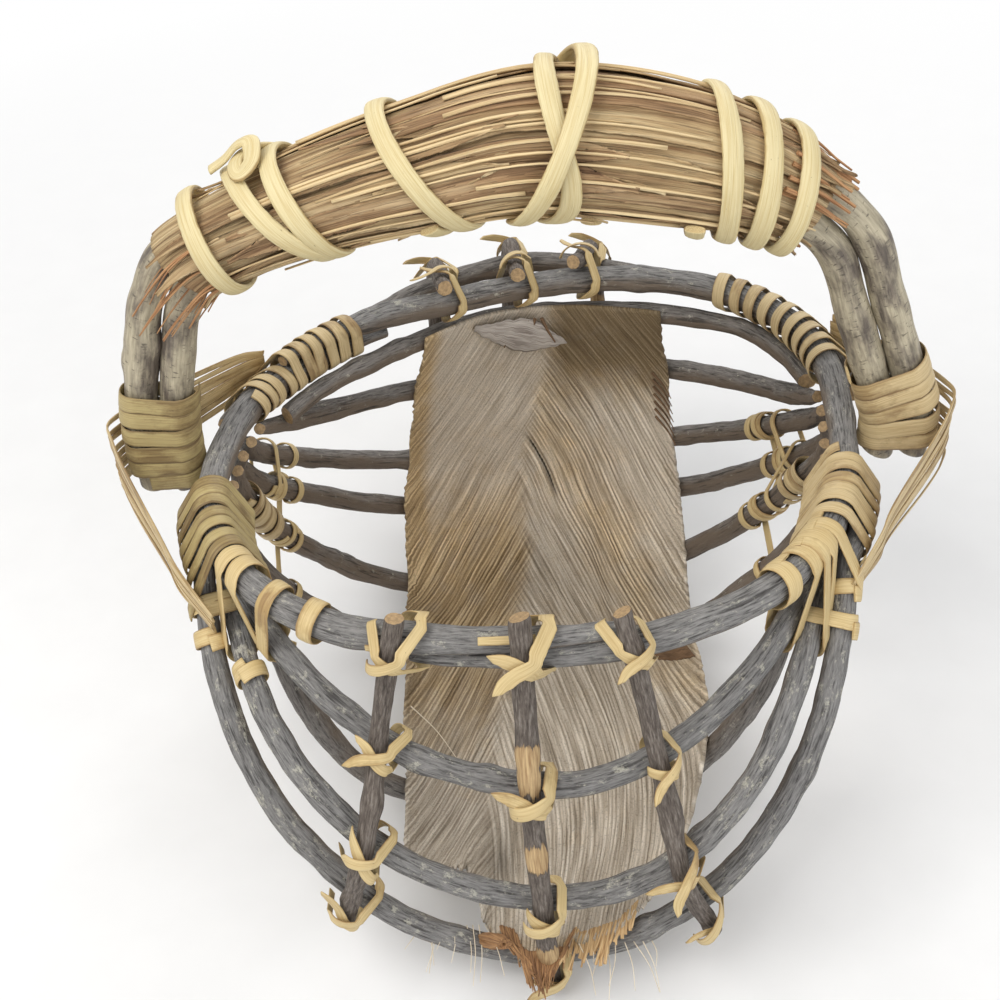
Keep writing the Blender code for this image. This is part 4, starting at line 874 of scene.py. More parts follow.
def flap_mesh(name, corners, belly):
    """A torn leaf of the sheath between its upper edge and its lower edge, each given by a few places."""
    shape = bmesh.new()
    bmesh.ops.create_grid(shape, x_segments=46, y_segments=12, size=1.0)
    grain = shape.verts.layers.float_vector.new("grain")
    upper, lower = (smooth_path(edge, FLAP_ROWS) for edge in corners)
    for corner in shape.verts:
        along, across = (corner.co.x + 1) / 2, (corner.co.y + 1) / 2
        row = int(along * (FLAP_ROWS - 1))
        ragged = 0.0012 * noise.noise(Vector((along * 14, across * 3, 5.0)))
        swell = belly * math.sin(math.pi * across) * math.sin(math.pi * along)
        place = upper[row] + (lower[row] - upper[row]) * across + [0.0, -swell, ragged + 0.3 * swell]
        corner[grain] = (along * 0.04, across * 0.014, 0.0)
        corner.co = place + RIM_CENTRE
    bmesh.ops.solidify(shape, geom=shape.faces[:], thickness=FLAP_THICKNESS)
    bmesh.ops.recalc_face_normals(shape, faces=shape.faces)
    mesh = bpy.data.meshes.new(name)
    shape.to_mesh(mesh)
    shape.free()
    mesh.shade_smooth()
    return mesh


# The top edge is folded over in a pale grey tongue, and the right edge turns up darkly by the rim.
# Each place is a share across the sheath, a distance down it and a height off it.
TONGUE_EDGES = (
    ((0.20, 0.003, 0.002), (0.44, 0.003, 0.004), (0.60, 0.018, 0.004)),
    ((0.20, 0.006, 0.002), (0.40, 0.021, 0.006), (0.61, 0.020, 0.004)),
)
TURNED_PLACES = ((0.86, 0.004), (0.93, 0.008), (0.995, 0.009))
tongue = [[on_sheath(*place) for place in edge] for edge in TONGUE_EDGES]
grey_back = fibre_material("grey sheath back", (0.52, 0.47, 0.42), (0.21, 0.175, 0.15))
add_piece("folded_tongue", flap_mesh("folded_tongue", tongue, 0.0015), "palm_sheath", (grey_back,))
turned = (
    [on_sheath(share, 0.196 + 0.006 * (1 - share), lift) for share, lift in TURNED_PLACES],
    [on_sheath(share, 0.206, 0.001) for share, _ in TURNED_PLACES],
)
add_piece("turned_edge", flap_mesh("turned_edge", turned, 0.001), "palm_sheath", (brown_edge,))

# --- The stakes ---
# Three upright twigs in front and three behind hold the ribs at their spacing. Their bark is darker and
# worn off here and there, and their ends are cut across, so that the pale wood shows.
STAKE_RADIUS = 0.0034
THICK_STAKE_RADIUS = 0.0038
STAKE_TOP_ABOVE_RIM = 0.017
STAKE_BELOW_LOWEST_RIB = 0.009
BACK_STAKE_REACH_IN = 0.013
STAKE_EASE = SEAT_GAP + ROD_ROOM
FRONT_CROSSED = ("rim", "front_rib_upper", "front_rib_middle", "front_rib_lower")
BACK_CROSSED = ("rim", "back_rib_outer", "back_rib_middle", "back_rib_lower", "back_rib_lowest")
# Where each crosses the rods, from its first crossing to its last, in half widths of the rim, and where
# along it the bark is worn off
STAKES = {
    "front_stake_left": (-0.395, -0.590, ()),
    "front_stake_middle": (-0.048, -0.016, (0.055, 0.064, 0.098, 0.152)),
    "front_stake_right": (0.242, 0.455, ()),
    "back_stake_left": (-0.290, -0.331, (0.003,)),
    "back_stake_middle": (-0.024, -0.081, (0.004,)),
    "back_stake_right": (0.210, 0.371, (0.070,)),
}


def rim_at_x(x, back):
    """The rim's centreline at its front or back, where it crosses a plane square to X."""
    spread = np.radians(np.linspace(30, 150, 121)) * (1 if back else -1)
    points = np.array([hoop_point(angle) for angle in spread])
    order = np.argsort(points[:, 0])
    point = np.array([np.interp(x, points[order, 0], points[order, k]) for k in range(3)])
    along = hoop_frame(spread[order][np.abs(points[order, 0] - x).argmin()])[2]
    return point, along if along[0] > 0 else -along


def stake_route(xs, crossed, back):
    """Points of a stake, and its crossings: the rod's point and direction and the way out."""
    places = []
    for k, name in enumerate(crossed):
        x = RIM_HALF_WIDTH * (xs[0] + (xs[1] - xs[0]) * k / (len(crossed) - 1))
        if name == "rim":
            places.append((*rim_at_x(x, back), RIM_RADIUS))
        else:
            places.append((*at_x(rods[name], x), RIB_RADIUS))
    centres = [place[0] for place in places]
    controls, found = [], []
    for k, (point, along, radius) in enumerate(places):
        out = unit(np.cross(along, centres[min(k + 1, len(centres) - 1)] - centres[max(k - 1, 0)]))
        if k == 0 and back:
            out = unit(out + 0.3 * UP)
        if out @ (point - BASKET_HEART) < 0:
            out = -out
        controls.append(point + out * (radius + STAKE_RADIUS + STAKE_EASE))
        found.append((point, along, out))
    reach = BACK_STAKE_REACH_IN if back else STAKE_TOP_ABOVE_RIM
    top = controls[0] + reach * unit(controls[0] - controls[1])
    bottom = controls[-1] + STAKE_BELOW_LOWEST_RIB * unit(controls[-1] - controls[-2])
    if back:
        bottom[2] = max(bottom[2], STAKE_RADIUS + 0.001 - RIM_CENTRE[2])
    return smooth_path([top] + controls + [bottom], 120), found


def wear_bark(mesh, seed, places):
    """Marks where the bark is gone, for the finish to read: patches on the side that faces out."""
    count = len(mesh.vertices)
    grain = np.empty(count * 3)
    mesh.attributes["grain"].data.foreach_get("vector", grain)
    grain = grain.reshape(-1, 3) - seed * 0.31
    bare = np.zeros(count)
    for place in places:
        bare = np.maximum(bare, np.exp(-(((grain[:, 0] - place) / 0.0075) ** 2)))
    bare *= 0.3 + 0.7 * np.clip(grain[:, 2] / STAKE_RADIUS + 0.35, 0, 1)
    mesh.attributes["wear_tone_and_shade"].data.foreach_set("value", bare)


def stake_material():
    made, tree, shader = named_material("dark twig bark", 0.8)
    fine = grain_noise(tree, 7.0, 1300, 5.0, 0.65)
    patches = grain_noise(tree, 9.0, 620, 4.0, 0.7, 4.0)
    bare = add_node(tree, "ShaderNodeAttribute", {"attribute_name": "wear_tone_and_shade"}).outputs["Fac"]
    bark = stops(tree, fine, (0.32, (0.040, 0.030, 0.024)), (0.52, (0.130, 0.106, 0.088)), (0.72, (0.27, 0.24, 0.21)))
    wood = stops(tree, grain_noise(tree, 16.0, 1500, 3.0), (0.3, (0.28, 0.16, 0.07)), (0.7, (0.62, 0.45, 0.24)))
    worn_and_shaded = figured(tree, "ADD", figured(tree, "MULTIPLY", bare, 0.6), figured(tree, "MULTIPLY", patches, 0.8))
    gone = stops(tree, worn_and_shaded, (0.70, (0.0,)), (0.76, (1.0,)))
    tree.links.new(mixed(tree, gone, bark, wood), shader.inputs["Base Color"])
    finish_bump(tree, shader, figured(tree, "ADD", fine, figured(tree, "MULTIPLY", gone, -0.6)), 0.0008, 0.9)
    return made


stake_bark = stake_material()
crossings = {}
for seed, (name, (first_x, last_x, bare_at)) in enumerate(STAKES.items()):
    back = name.startswith("back")
    route, crossings[name] = stake_route((first_x, last_x), BACK_CROSSED if back else FRONT_CROSSED, back)
    radius = THICK_STAKE_RADIUS if name == "front_stake_middle" else STAKE_RADIUS
    rods[name] = route, np.full(len(route), radius)
    mesh = twig_mesh("stake " + name, *rods[name], 50 + seed, around=30, crook=0.0003, knots=4)
    wear_bark(mesh, 50 + seed, bare_at)
    add_piece("dressed_" + name, mesh, "dark_twig_bark", (stake_bark, cut_wood), name)

# --- The handle's rods ---
# Two smooth, pale barked rods bent side by side into one arch. Their feet stand outside the rim at the
# ears and reach a little below it.
HANDLE_RADIUS = 0.0065
HANDLE_RISE = 0.132
HANDLE_FOOT_BELOW_RIM = 0.012
HANDLE_APART = 2 * HANDLE_RADIUS + BUNDLE_GAP
# Room for a winding's straight runs in the solid model
WINDING_ROOM = 0.0007
FOOT_OUT = RIM_RADIUS + 2 * SEAT_GAP + WINDING_ROOM + CANE_THICKNESS + HANDLE_RADIUS + HANDLE_APART / 2
# Places on the arch from its left foot to its right one, in half spans across and rises up
HANDLE_ARCH = (
    (-1.0, 0.06),
    (-0.985, 0.22),
    (-0.950, 0.40),
    (-0.905, 0.57),
    (-0.810, 0.715),
    (-0.533, 0.850),
    (-0.228, 0.945),
    (0.070, 1.0),
    (0.430, 0.925),
    (0.665, 0.805),
    (0.810, 0.660),
    (0.880, 0.450),
    (0.950, 0.230),
    (1.0, 0.06),
)


def handle_line():
    """The line between the two rods of the arch, from the left foot to the right one."""
    half_span = hoop_point(0.0)[0] + FOOT_OUT
    shape = [(-half_span, 0.0, -HANDLE_FOOT_BELOW_RIM)]
    shape += [(half_span * across, 0.0, HANDLE_RISE * rise) for across, rise in HANDLE_ARCH]
    shape += [(half_span, 0.0, -HANDLE_FOOT_BELOW_RIM)]
    return smooth_path(shape, 240)


def handle_bark_material():
    made, tree, shader = named_material("smooth handle bark", 0.55)
    mottle = grain_noise(tree, 2.5, 95, 5.0, 0.62, 2.0)
    fine = grain_noise(tree, 10.0, 900, 4.0, 0.6)
    scars = grain_noise(tree, 0.35, 330, 2.0, 0.5, 8.0)
    pale = stops(tree, fine, (0.3, (0.29, 0.25, 0.175)), (0.7, (0.54, 0.475, 0.34)))
    dark = stops(tree, fine, (0.3, (0.065, 0.052, 0.042)), (0.7, (0.19, 0.155, 0.12)))
    colour = mixed(tree, stops(tree, mottle, (0.40, (0.0,)), (0.56, (1.0,))), dark, pale)
    colour = mixed(tree, stops(tree, scars, (0.30, (0.7,)), (0.38, (0.0,))), colour, (0.05, 0.038, 0.028))
    tree.links.new(colour, shader.inputs["Base Color"])
    finish_bump(tree, shader, figured(tree, "ADD", mottle, fine), 0.0005, 0.8)
    return made


arch = handle_line()
arch_along = np.gradient(arch, axis=0)
arch_out = unit_rows(np.stack([-arch_along[:, 2], arch_along[:, 1], arch_along[:, 0]], axis=1))
handle_bark = handle_bark_material()
for seed, (name, side) in enumerate((("handle_rod_outer", 1), ("handle_rod_inner", -1))):
    rods[name] = arch + side * HANDLE_APART / 2 * arch_out, np.full(len(arch), HANDLE_RADIUS)
    mesh = twig_mesh("arch " + name, *rods[name], 60 + seed, around=40, crook=0.0003, relief=0.00016, knots=6)
    add_piece("dressed_" + name, mesh, "smooth_pale_bark", (handle_bark, cut_wood), name)

# --- Crossed lashings ---
# Where a stake meets the rim or a rib, one flat strip of split cane goes over the stake aslant, round
# behind the rod and back over the stake the other way. The cut ends are left pointing out.
CANE_EASE = 0.0006
LASHING_WIDTH = 0.0044
LASHING_THICKNESS = 0.0008
LASHING_EASE = 0.0010
LASHING_TURNS = 1.4
LASHING_SLANT = 47
LASHING_REACH = 0.03
MIDDLE_LASHING_WIDER = 1.35
TAIL_LENGTHS = (0.006, 0.012)
TAIL_CURLS = (0.0, 0.12)
TAIL_DRIFT = 0.35
CUT_SLANT = 0.9
STRIP_STEP = 0.0009
LASHED = {
    "front": {
        "rim": "rim",
        "front_rib_upper": "upper_rib",
        "front_rib_middle": "middle_rib",
        "front_rib_lower": "lower_rib",
    },
    "back": {"rim": "rim", "back_rib_outer": "outer_rib", "back_rib_lowest": "lowest_rib"},
}


def sections_of(routes, origin, normal, reach):
    """Where a plane cuts each rod near the origin: centre, half axes, their directions and the rod's."""
    found = []
    for points, radii in routes:
        heights = (points - origin) @ normal
        best = None
        for i in np.nonzero(heights[:-1] * heights[1:] <= 0)[0]:
            if heights[i] == heights[i + 1]:
                continue
            share = heights[i] / (heights[i] - heights[i + 1])
            centre = points[i] + share * (points[i + 1] - points[i])
            distance = np.linalg.norm(centre - origin)
            if distance < reach and (best is None or distance < best[0]):
                best = (distance, i, share, centre)
        if best is None:
            continue
        _, i, share, centre = best
        radius = radii[i] + share * (radii[i + 1] - radii[i])
        direction = unit(points[i + 1] - points[i])
        lean = max(abs(direction @ normal), 0.3)
        across = np.cross(direction, normal)
        if np.linalg.norm(across) < 1e-6:
            across = np.cross(normal, UP + 0.5 * normal[::-1])
        across = unit(across)
        found.append((centre, radius, across, radius / lean, unit(np.cross(normal, across)), direction))
    return found


def hull_point(sections, direction):
    """The point of the rods' outline that lies furthest in a direction, and the way out of that rod."""
    best = None
    for centre, short, across, long, along, rod_way in sections:
        a, b = short * (direction @ across), long * (direction @ along)
        reach = math.hypot(a, b)
        if best is None or centre @ direction + reach > best[0]:
            offset = (short * a * across + long * b * along) / reach
            best = (centre @ direction + reach, centre + offset, unit(offset - (offset @ rod_way) * rod_way))
    return best[1], best[2]


def evened(rows, span):
    padded = np.vstack([rows[:1]] * span + [rows] + [rows[-1:]] * span)
    return unit_rows(sum(padded[k : k + len(rows)] for k in range(2 * span + 1)))


def wind(routes, frame_at, turns, start, lift, reach=0.045, steps=40):
    """A strip's path round rods: places on its inner face, the ways out of the rods and across it."""
    places, outwards, lifts = [], [], []
    count = int(round(turns * steps))
    for k in range(count + 1):
        share = k / count
        origin, normal, zero = frame_at(share)
        angle = 2 * math.pi * (start + turns * share)
        direction = math.cos(angle) * zero + math.sin(angle) * np.cross(normal, zero)
        place, outward = hull_point(sections_of(routes, origin, normal, reach), direction)
        places.append(place)
        outwards.append(outward)
        lifts.append(lift(share))
    outwards = evened(np.array(outwards), 2)
    places = np.array(places) + np.array(lifts)[:, None] * outwards
    return places, outwards, evened(np.cross(np.gradient(places, axis=0), outwards), 1)


def with_tail(path, length, curl, towards):
    """The path with a loose end after its last place, which lifts off the rods and bends in a direction."""
    places, outwards, widths = path
    way = unit(places[-1] - places[-3])
    away, aside = outwards[-1], widths[-1]
    drift = TAIL_DRIFT * (aside @ towards)
    t = np.linspace(0, 1, 12)[1:, None]
    tail = places[-1] + length * (t * way + curl * t**2 * away + drift * t**2 * aside)
    turned = unit_rows(away - 2 * curl * t * way)
    across = unit_rows(aside - 2 * drift * t * way)
    return np.vstack([places, tail]), np.vstack([outwards, turned]), np.vstack([widths, across])


def turned_round(path):
    return path[0][::-1], path[1][::-1], -path[2][::-1]


def strip_mesh(name, path, width, thickness, seed, cut=(False, False), flatness=0.5, around=14, lean=0.0):
    """A strip with rounded edges along a path. It leans on its neighbour by the given slope.

    cut says for its first and its last end whether it narrows to a cut aslant or ends square.
    """
    places, outwards, widths = path
    length = lengths_along(places)[-1]
    stations = max(int(length / STRIP_STEP), 10)
    wanted = np.linspace(0, length, stations)
    centre = sampled(places, places, wanted)
    outward = unit_rows(sampled(places, outwards, wanted))
    across = unit_rows(sampled(places, widths, wanted))
    by_length = np.stack([wanted, np.zeros(stations), np.zeros(stations)], axis=1)
    breadth = width * (1 + 0.16 * noisy(by_length, 45, seed * 1.9) + 0.05 * noisy(by_length, 400, seed))
    aslant = np.zeros(stations)
    for is_cut, from_end in zip(cut, (wanted, length - wanted)):
        if is_cut:
            breadth = breadth * np.clip(0.5 + from_end / 0.010, 0.5, 1)
            aslant = aslant + np.clip(1 - from_end / 0.006, 0, 1)
    onward = unit_rows(np.gradient(centre, axis=0)) * (CUT_SLANT * aslant)[:, None]
    tone = np.clip(0.5 + 0.75 * noisy(by_length, 28, seed * 3.1), 0, 1)

    def place_at(rows, turns):
        c, s = np.cos(2 * math.pi * turns), np.sin(2 * math.pi * turns)
        sideways = np.sign(c) * np.abs(c) ** flatness * breadth[rows] / 2
        crown = 1 - 0.15 * (2 * sideways / breadth[rows]) ** 2
        height = thickness / 2 * (1 + np.sign(s) * np.abs(s) ** 0.8 * crown)
        grain = np.stack([wanted[rows], sideways, height], axis=1)
        height = height + 0.00009 * noisy(grain * [0.02, 1, 1], 2600, seed) + lean * (sideways + breadth[rows] / 2)
        placed = centre[rows] + sideways[:, None] * (across + onward)[rows] + height[:, None] * outward[rows]
        # Painted shade: the strip's edges get a higher share, which the cane finish paints brown, standing in for the
        # dark gaps between turns.
        edge = np.abs(2 * sideways / breadth[rows]) ** 7
        return placed, grain + seed * 0.37, tone[rows] + 0.7 * edge

    return tube(name, stations, around, place_at)


def cane_material(name, pale, tan, brown, brown_share):
    """Split cane: long fine fibres, with browner stretches, painted shade along the strips' edges, and a few dark
    specks.
    """
    made, tree, shader = named_material(name, 0.52)
    fibres = grain_noise(tree, 40.0, 2200, 3.0, 0.55)
    streaks = grain_noise(tree, 25.0, 700, 3.0, 0.6, 5.0)
    blotch = grain_noise(tree, 1.5, 160, 4.0, 0.65, 9.0)
    specks = grain_noise(tree, 2.0, 900, 3.0, 0.7, 14.0)
    tone = add_node(tree, "ShaderNodeAttribute", {"attribute_name": "wear_tone_and_shade"}).outputs["Fac"]
    body = stops(tree, fibres, (0.30, tan), (0.55, pale), (0.80, tuple(1.12 * c for c in pale)))
    aged_and_edge_shade = stops(tree, streaks, (0.30, brown), (0.65, tan))
    share = figured(tree, "ADD", figured(tree, "MULTIPLY", tone, 0.5), figured(tree, "MULTIPLY", blotch, 0.6))
    colour = mixed(tree, stops(tree, share, (brown_share, (0.0,)), (brown_share + 0.16, (1.0,))), body, aged_and_edge_shade)
    colour = mixed(tree, stops(tree, specks, (0.24, (0.75,)), (0.31, (0.0,))), colour, (0.10, 0.055, 0.025))
    tree.links.new(colour, shader.inputs["Base Color"])
    shader.inputs["Specular IOR Level"].default_value = 0.4
    finish_bump(tree, shader, figured(tree, "ADD", fibres, streaks), 0.0003, 0.8)
    return made


def crossed_lashing(stake, bound, crossing, first, last):
    """The path of a lashing from one turn to another, counted from the front of the stake."""
    point, along, out = crossing
    stake_way = unit(np.cross(along, out))
    rod_way = unit(np.cross(out, stake_way))
    climb = CANE_THICKNESS + CANE_EASE

    def whole(share):
        return (first + (last - first) * share + LASHING_TURNS / 2 - 0.5) / LASHING_TURNS

    def frame_at(share):
        slants = (-LASHING_SLANT, -LASHING_SLANT, LASHING_SLANT, LASHING_SLANT)
        slant = math.radians(float(np.interp(whole(share), (0.0, 0.38, 0.62, 1.0), slants)))
        return point, math.cos(slant) * rod_way + math.sin(slant) * stake_way, out

    def lift(share):
        return SEAT_GAP + ROD_ROOM + LASHING_EASE + climb * float(np.interp(whole(share), (0.3, 0.7), (0.0, 1.0)))

    return wind([stake] + bound, frame_at, last - first, first, lift, LASHING_REACH)


RIM = (rim_right, rim_left)
split_cane = cane_material("split cane", (0.63, 0.49, 0.25), (0.50, 0.35, 0.15), (0.26, 0.155, 0.065), 0.66)
tail_choice = np.random.default_rng(5)
for stake_name, found in crossings.items():
    face = stake_name.split("_")[0]
    for rod_name, crossing in zip(FRONT_CROSSED if face == "front" else BACK_CROSSED, found):
        if rod_name not in LASHED[face]:
            continue
        bound = list(RIM) if rod_name == "rim" else [rods[rod_name]]
        node = stake_name.replace("stake_", "") + "_lashing_" + LASHED[face][rod_name]
        cut_first, cut_last = tail_choice.uniform(size=2) < (0.75, 0.55)
        first, last = (-0.03 if cut_first else -0.2), (1.03 if cut_last else 1.2)
        down = unit(np.cross(crossing[1], crossing[2]))
        down = -down if down[2] > 0 else down
        path = crossed_lashing(rods[stake_name], bound, crossing, first, last)
        if cut_last:
            path = with_tail(path, tail_choice.uniform(*TAIL_LENGTHS), tail_choice.uniform(*TAIL_CURLS), down)
        if cut_first:
            path = turned_round(path)
            path = with_tail(path, tail_choice.uniform(*TAIL_LENGTHS), tail_choice.uniform(*TAIL_CURLS), down)
            path = turned_round(path)
        width = LASHING_WIDTH * (MIDDLE_LASHING_WIDER if stake_name == "front_stake_middle" else 1.0)
        seed = int(tail_choice.integers(100, 900))
        mesh = strip_mesh(node, path, width, LASHING_THICKNESS, seed, (cut_first, cut_last), 0.4)
        add_piece("dressed_" + node, mesh, "split_cane", (split_cane, split_cane), node)

# --- Foot lashings and wraps ---
# Broad strips bind the two rods of each foot together. Narrower ones are wound close together round
# the rim and whatever lies beside it, in front of each ear and behind it.
WRAP_WIDTH = 0.0052
BACK_WRAP_WIDTH = 0.0057
WRAP_THICKNESS = 0.0009
FOOT_WIDTH = 0.0075
FOOT_PITCH = 0.0076
FOOT_TURNS = 5.3
FOOT_LASHING_ABOVE_TIP = 0.006
WRAP_EASE = SEAT_GAP + WINDING_ROOM
WRAP_REACH = 0.032
# First and last angle from the ear, and turns
FRONT_WRAP = (-10.5, -31, 6.7)
BACK_WRAPS = {"left": (17, 50, 9.6), "right": (20, 52, 8.6)}
BUNDLED = ("front_rib_upper", "front_rib_middle", "front_rib_lower", "floor_rib_front")
RIDGE = 0.0005


def uneven(seed, turns):
    """A winding's own unevenness: how far each turn strays along the rod, and how high it lies."""
    random = np.random.default_rng(seed)
    knots = np.linspace(0, 1, int(turns * 2) + 2)
    stray = random.uniform(-1, 1, len(knots))
    height = random.uniform(0, 1, len(knots))
    return lambda share: (float(np.interp(share, knots, stray)), float(np.interp(share, knots, height)))


def foot_lashing(side, seed):
    """The strip wound round both rods of one foot of the arch."""
    lengths = lengths_along(arch)
    low = FOOT_LASHING_ABOVE_TIP
    high = low + FOOT_TURNS * FOOT_PITCH
    odd = uneven(seed, FOOT_TURNS)

    def frame_at(share):
        from_foot = low + (high - low) * share + 0.0011 * odd(share)[0]
        wanted = from_foot if side == LEFT else lengths[-1] - from_foot
        centre, along = sampled(arch, arch, [wanted])[0], unit(sampled(arch, arch_along, [wanted])[0])
        return centre, along * -side, np.array([-along[2], 0.0, along[0]])

    feet = (rods["handle_rod_inner"], rods["handle_rod_outer"])
    return wind(feet, frame_at, FOOT_TURNS, 0.25, lambda share: WRAP_EASE + RIDGE * odd(share)[1])


def hoop_wrap(side, first, last, turns, bound, seed):
    """The strip wound round the rim and the ribs bound to it, between two angles from an ear."""
    odd = uneven(seed, turns)
    pitch = abs(last - first) / turns

    def frame_at(share):
        degrees = first + (last - first) * share + 0.16 * pitch * odd(share)[0]
        point, outward, along = hoop_frame(ear_angle(side, degrees))
        slant = 0.10 * odd(share)[0]
        return point, unit(along * side * math.copysign(1, last) + slant * UP), outward

    wrapped = list(RIM) + [rods[name] for name in bound]
    return wind(wrapped, frame_at, turns, 0.3, lambda share: WRAP_EASE + RIDGE * odd(share)[1], WRAP_REACH)


wrap_cane = cane_material("wrapping cane", (0.60, 0.47, 0.26), (0.45, 0.32, 0.15), (0.20, 0.12, 0.055), 0.58)
# A darker copy of the wrapping cane, for the left front wrap and the left foot lashing: painted shade.
shaded_wrap_cane = cane_material("shade-darkened wrapping cane", (0.44, 0.35, 0.16), (0.32, 0.235, 0.10), (0.14, 0.085, 0.035), 0.54)
for side, hand, seed in ((LEFT, "left", 210), (RIGHT, "right", 250)):
    front_wrap = hoop_wrap(side, *FRONT_WRAP, BUNDLED, seed + 1)
    back_wrap = hoop_wrap(side, *BACK_WRAPS[hand], ("back_rib_outer",), seed + 2)
    wound = (
        (f"foot_lashing_{hand}", foot_lashing(side, seed), FOOT_WIDTH, 0.06),
        (f"front_wrap_{hand}", front_wrap, WRAP_WIDTH, 0.08),
        (f"back_wrap_{hand}", back_wrap, BACK_WRAP_WIDTH, 0.10),
    )
    for k, (node, path, width, lean) in enumerate(wound):
        mesh = strip_mesh(node, path, width, WRAP_THICKNESS, seed + 10 + k, lean=lean)
        # The left front wrap and the left foot lashing take the darker copy, which is painted shade.
        finish = shaded_wrap_cane if node in ("front_wrap_left", "foot_lashing_left") else wrap_cane
        add_piece("dressed_" + node, mesh, "split_cane", (finish, split_cane), node)

LOOP_THICKNESS = 0.0010
LOOP_START = 0.3
RIB_LOOP_START = 0.1
RIB_LOOP_REACH = 0.030
HOOP_LOOP_LIFT = 0.0012
RIB_LOOP_LIFT, RIB_LOOP_CLIMB = 0.0008, 0.0006


def loop_at(side, degrees, bound, turns, slant, seed):
    """One or two turns round the rim and the ribs beside it, slanting along them."""
    point, outward, along = hoop_frame(ear_angle(side, degrees))
    normal = unit(along * -side + math.sin(math.radians(slant)) * UP)
    odd = uneven(seed, turns)

    def frame_at(share):
        return point + 0.004 * (share - 0.5) * turns * normal, normal, outward

    def lift(share):
        return HOOP_LOOP_LIFT + RIDGE * odd(share)[1]

    return wind(list(RIM) + [rods[name] for name in bound], frame_at, turns, LOOP_START, lift, WRAP_REACH)


def rib_loop(name, distance, side, turns, slant, also=()):
    """A loop round one rib, or round it and its neighbour, at a distance from its tip."""
    point, along = along_rod(rods[name], distance, side)
    aside = unit(np.cross(along, np.array([0.0, 1.0, 0.0])))
    normal = unit(along + math.tan(math.radians(slant)) * aside)
    zero = unit(np.cross(normal, np.array([0.0, 1.0, 0.0])))

    def frame_at(share):
        return point + 0.003 * (share - 0.5) * turns * normal, normal, zero

    def lift(share):
        return RIB_LOOP_LIFT + RIB_LOOP_CLIMB * share

    bound = [rods[one] for one in (name, *also)]
    return wind(bound, frame_at, turns, RIB_LOOP_START, lift, RIB_LOOP_REACH)


def along_rod(route, distance, side):
    """The point and direction of a rod at a distance from its left or right end, towards its middle."""
    wanted = distance if side == LEFT else lengths_along(route[0])[-1] - distance
    steps = (0.0, LOOK_AHEAD, -LOOK_AHEAD)
    point, ahead, behind = (sampled(route[0], route[0], [wanted + step])[0] for step in steps)
    return point, unit(ahead - behind) * -side


# Single loops of cane, each with its width: broad ones beyond the front wraps, round the rim or round one
# rib or two, and narrow ones on the ribs behind the ears
LOOPS = (
    (loop_at(LEFT, -38, ("front_rib_upper",), 1.15, 25, 501), 0.0068),
    (loop_at(LEFT, -45, ("front_rib_upper",), 1.10, -12, 502), 0.0070),
    (loop_at(LEFT, -53, (), 1.10, -14, 503), 0.0068),
    (rib_loop("front_rib_lower", 0.068, LEFT, 1.1, 4), 0.0064),
    (rib_loop("front_rib_middle", 0.079, LEFT, 1.1, 10), 0.0066),
    (rib_loop("front_rib_lower", 0.056, LEFT, 1.1, 8, ("front_rib_middle",)), 0.0064),
    (loop_at(RIGHT, -37, ("front_rib_upper", "front_rib_middle", "front_rib_lower"), 1.2, 14, 504), 0.0072),
    (loop_at(RIGHT, -42, ("front_rib_upper", "front_rib_middle"), 1.15, 22, 505), 0.0074),
    (loop_at(RIGHT, -48, ("front_rib_upper",), 1.10, 26, 506), 0.0072),
    (rib_loop("front_rib_lower", 0.062, RIGHT, 1.1, 3), 0.0060),
    (rib_loop("front_rib_lower", 0.075, RIGHT, 1.1, -4, ("front_rib_middle",)), 0.0062),
    (loop_at(RIGHT, -33.5, BUNDLED[:3], 1.2, 6, 507), 0.0068),
    (loop_at(RIGHT, -39.5, BUNDLED[:2], 1.15, 18, 508), 0.0070),
    (loop_at(LEFT, -34, BUNDLED[:2], 1.15, 14, 509), 0.0066),
    (rib_loop("back_rib_lower", 0.058, RIGHT, 1.1, 12, ("back_rib_lowest",)), 0.0036),
    (rib_loop("back_rib_lowest", 0.060, RIGHT, 1.1, -10, ("floor_rib_back",)), 0.0036),
    (rib_loop("back_rib_lower", 0.071, RIGHT, 1.9, 22), 0.0034),
    (rib_loop("back_rib_lowest", 0.075, RIGHT, 1.9, -20), 0.0034),
    (rib_loop("floor_rib_back", 0.073, RIGHT, 1.9, 18), 0.0034),
    (rib_loop("back_rib_lower", 0.056, LEFT, 1.1, 10, ("back_rib_lowest",)), 0.0036),
    (rib_loop("back_rib_lowest", 0.072, LEFT, 1.9, 22), 0.0034),
    (rib_loop("floor_rib_back", 0.076, LEFT, 1.9, -20), 0.0034),
)


def stub_on_rim(first, last, tilt):
    """A cut end of cane that lies along the front of the rim, between two angles in degrees."""
    places, outs = [], []
    for angle in np.radians(np.linspace(first, last, 9)):
        point, outward, along = hoop_frame(angle)
        direction = math.cos(tilt) * outward + math.sin(tilt) * UP
        place, out = hull_point(sections_of(RIM, point, along, WRAP_REACH), direction)
        places.append(place + WRAP_EASE * out)
        outs.append(out)
    places, outs = np.array(places), unit_rows(np.array(outs))
    return places, outs, evened(np.cross(np.gradient(places, axis=0), outs), 1)


# Cut ends on the rim beside the stakes: first and last angle, the tilt up from its front, and the width
STUBS = {"stub middle": (-99.4, -90.5, 0.75, 0.0030), "stub left": (-116.5, -111.0, 0.10, 0.0028)}
strips = [strip_mesh(f"loop {k}", path, width, LOOP_THICKNESS, 520 + k) for k, (path, width) in enumerate(LOOPS)]
for k, (name, (*places, width)) in enumerate(STUBS.items()):
    strips.append(strip_mesh(name, stub_on_rim(*places), width, LOOP_THICKNESS, 560 + k))
add_piece("single_loops", joined("single loops", strips), "split_cane", (split_cane, split_cane))

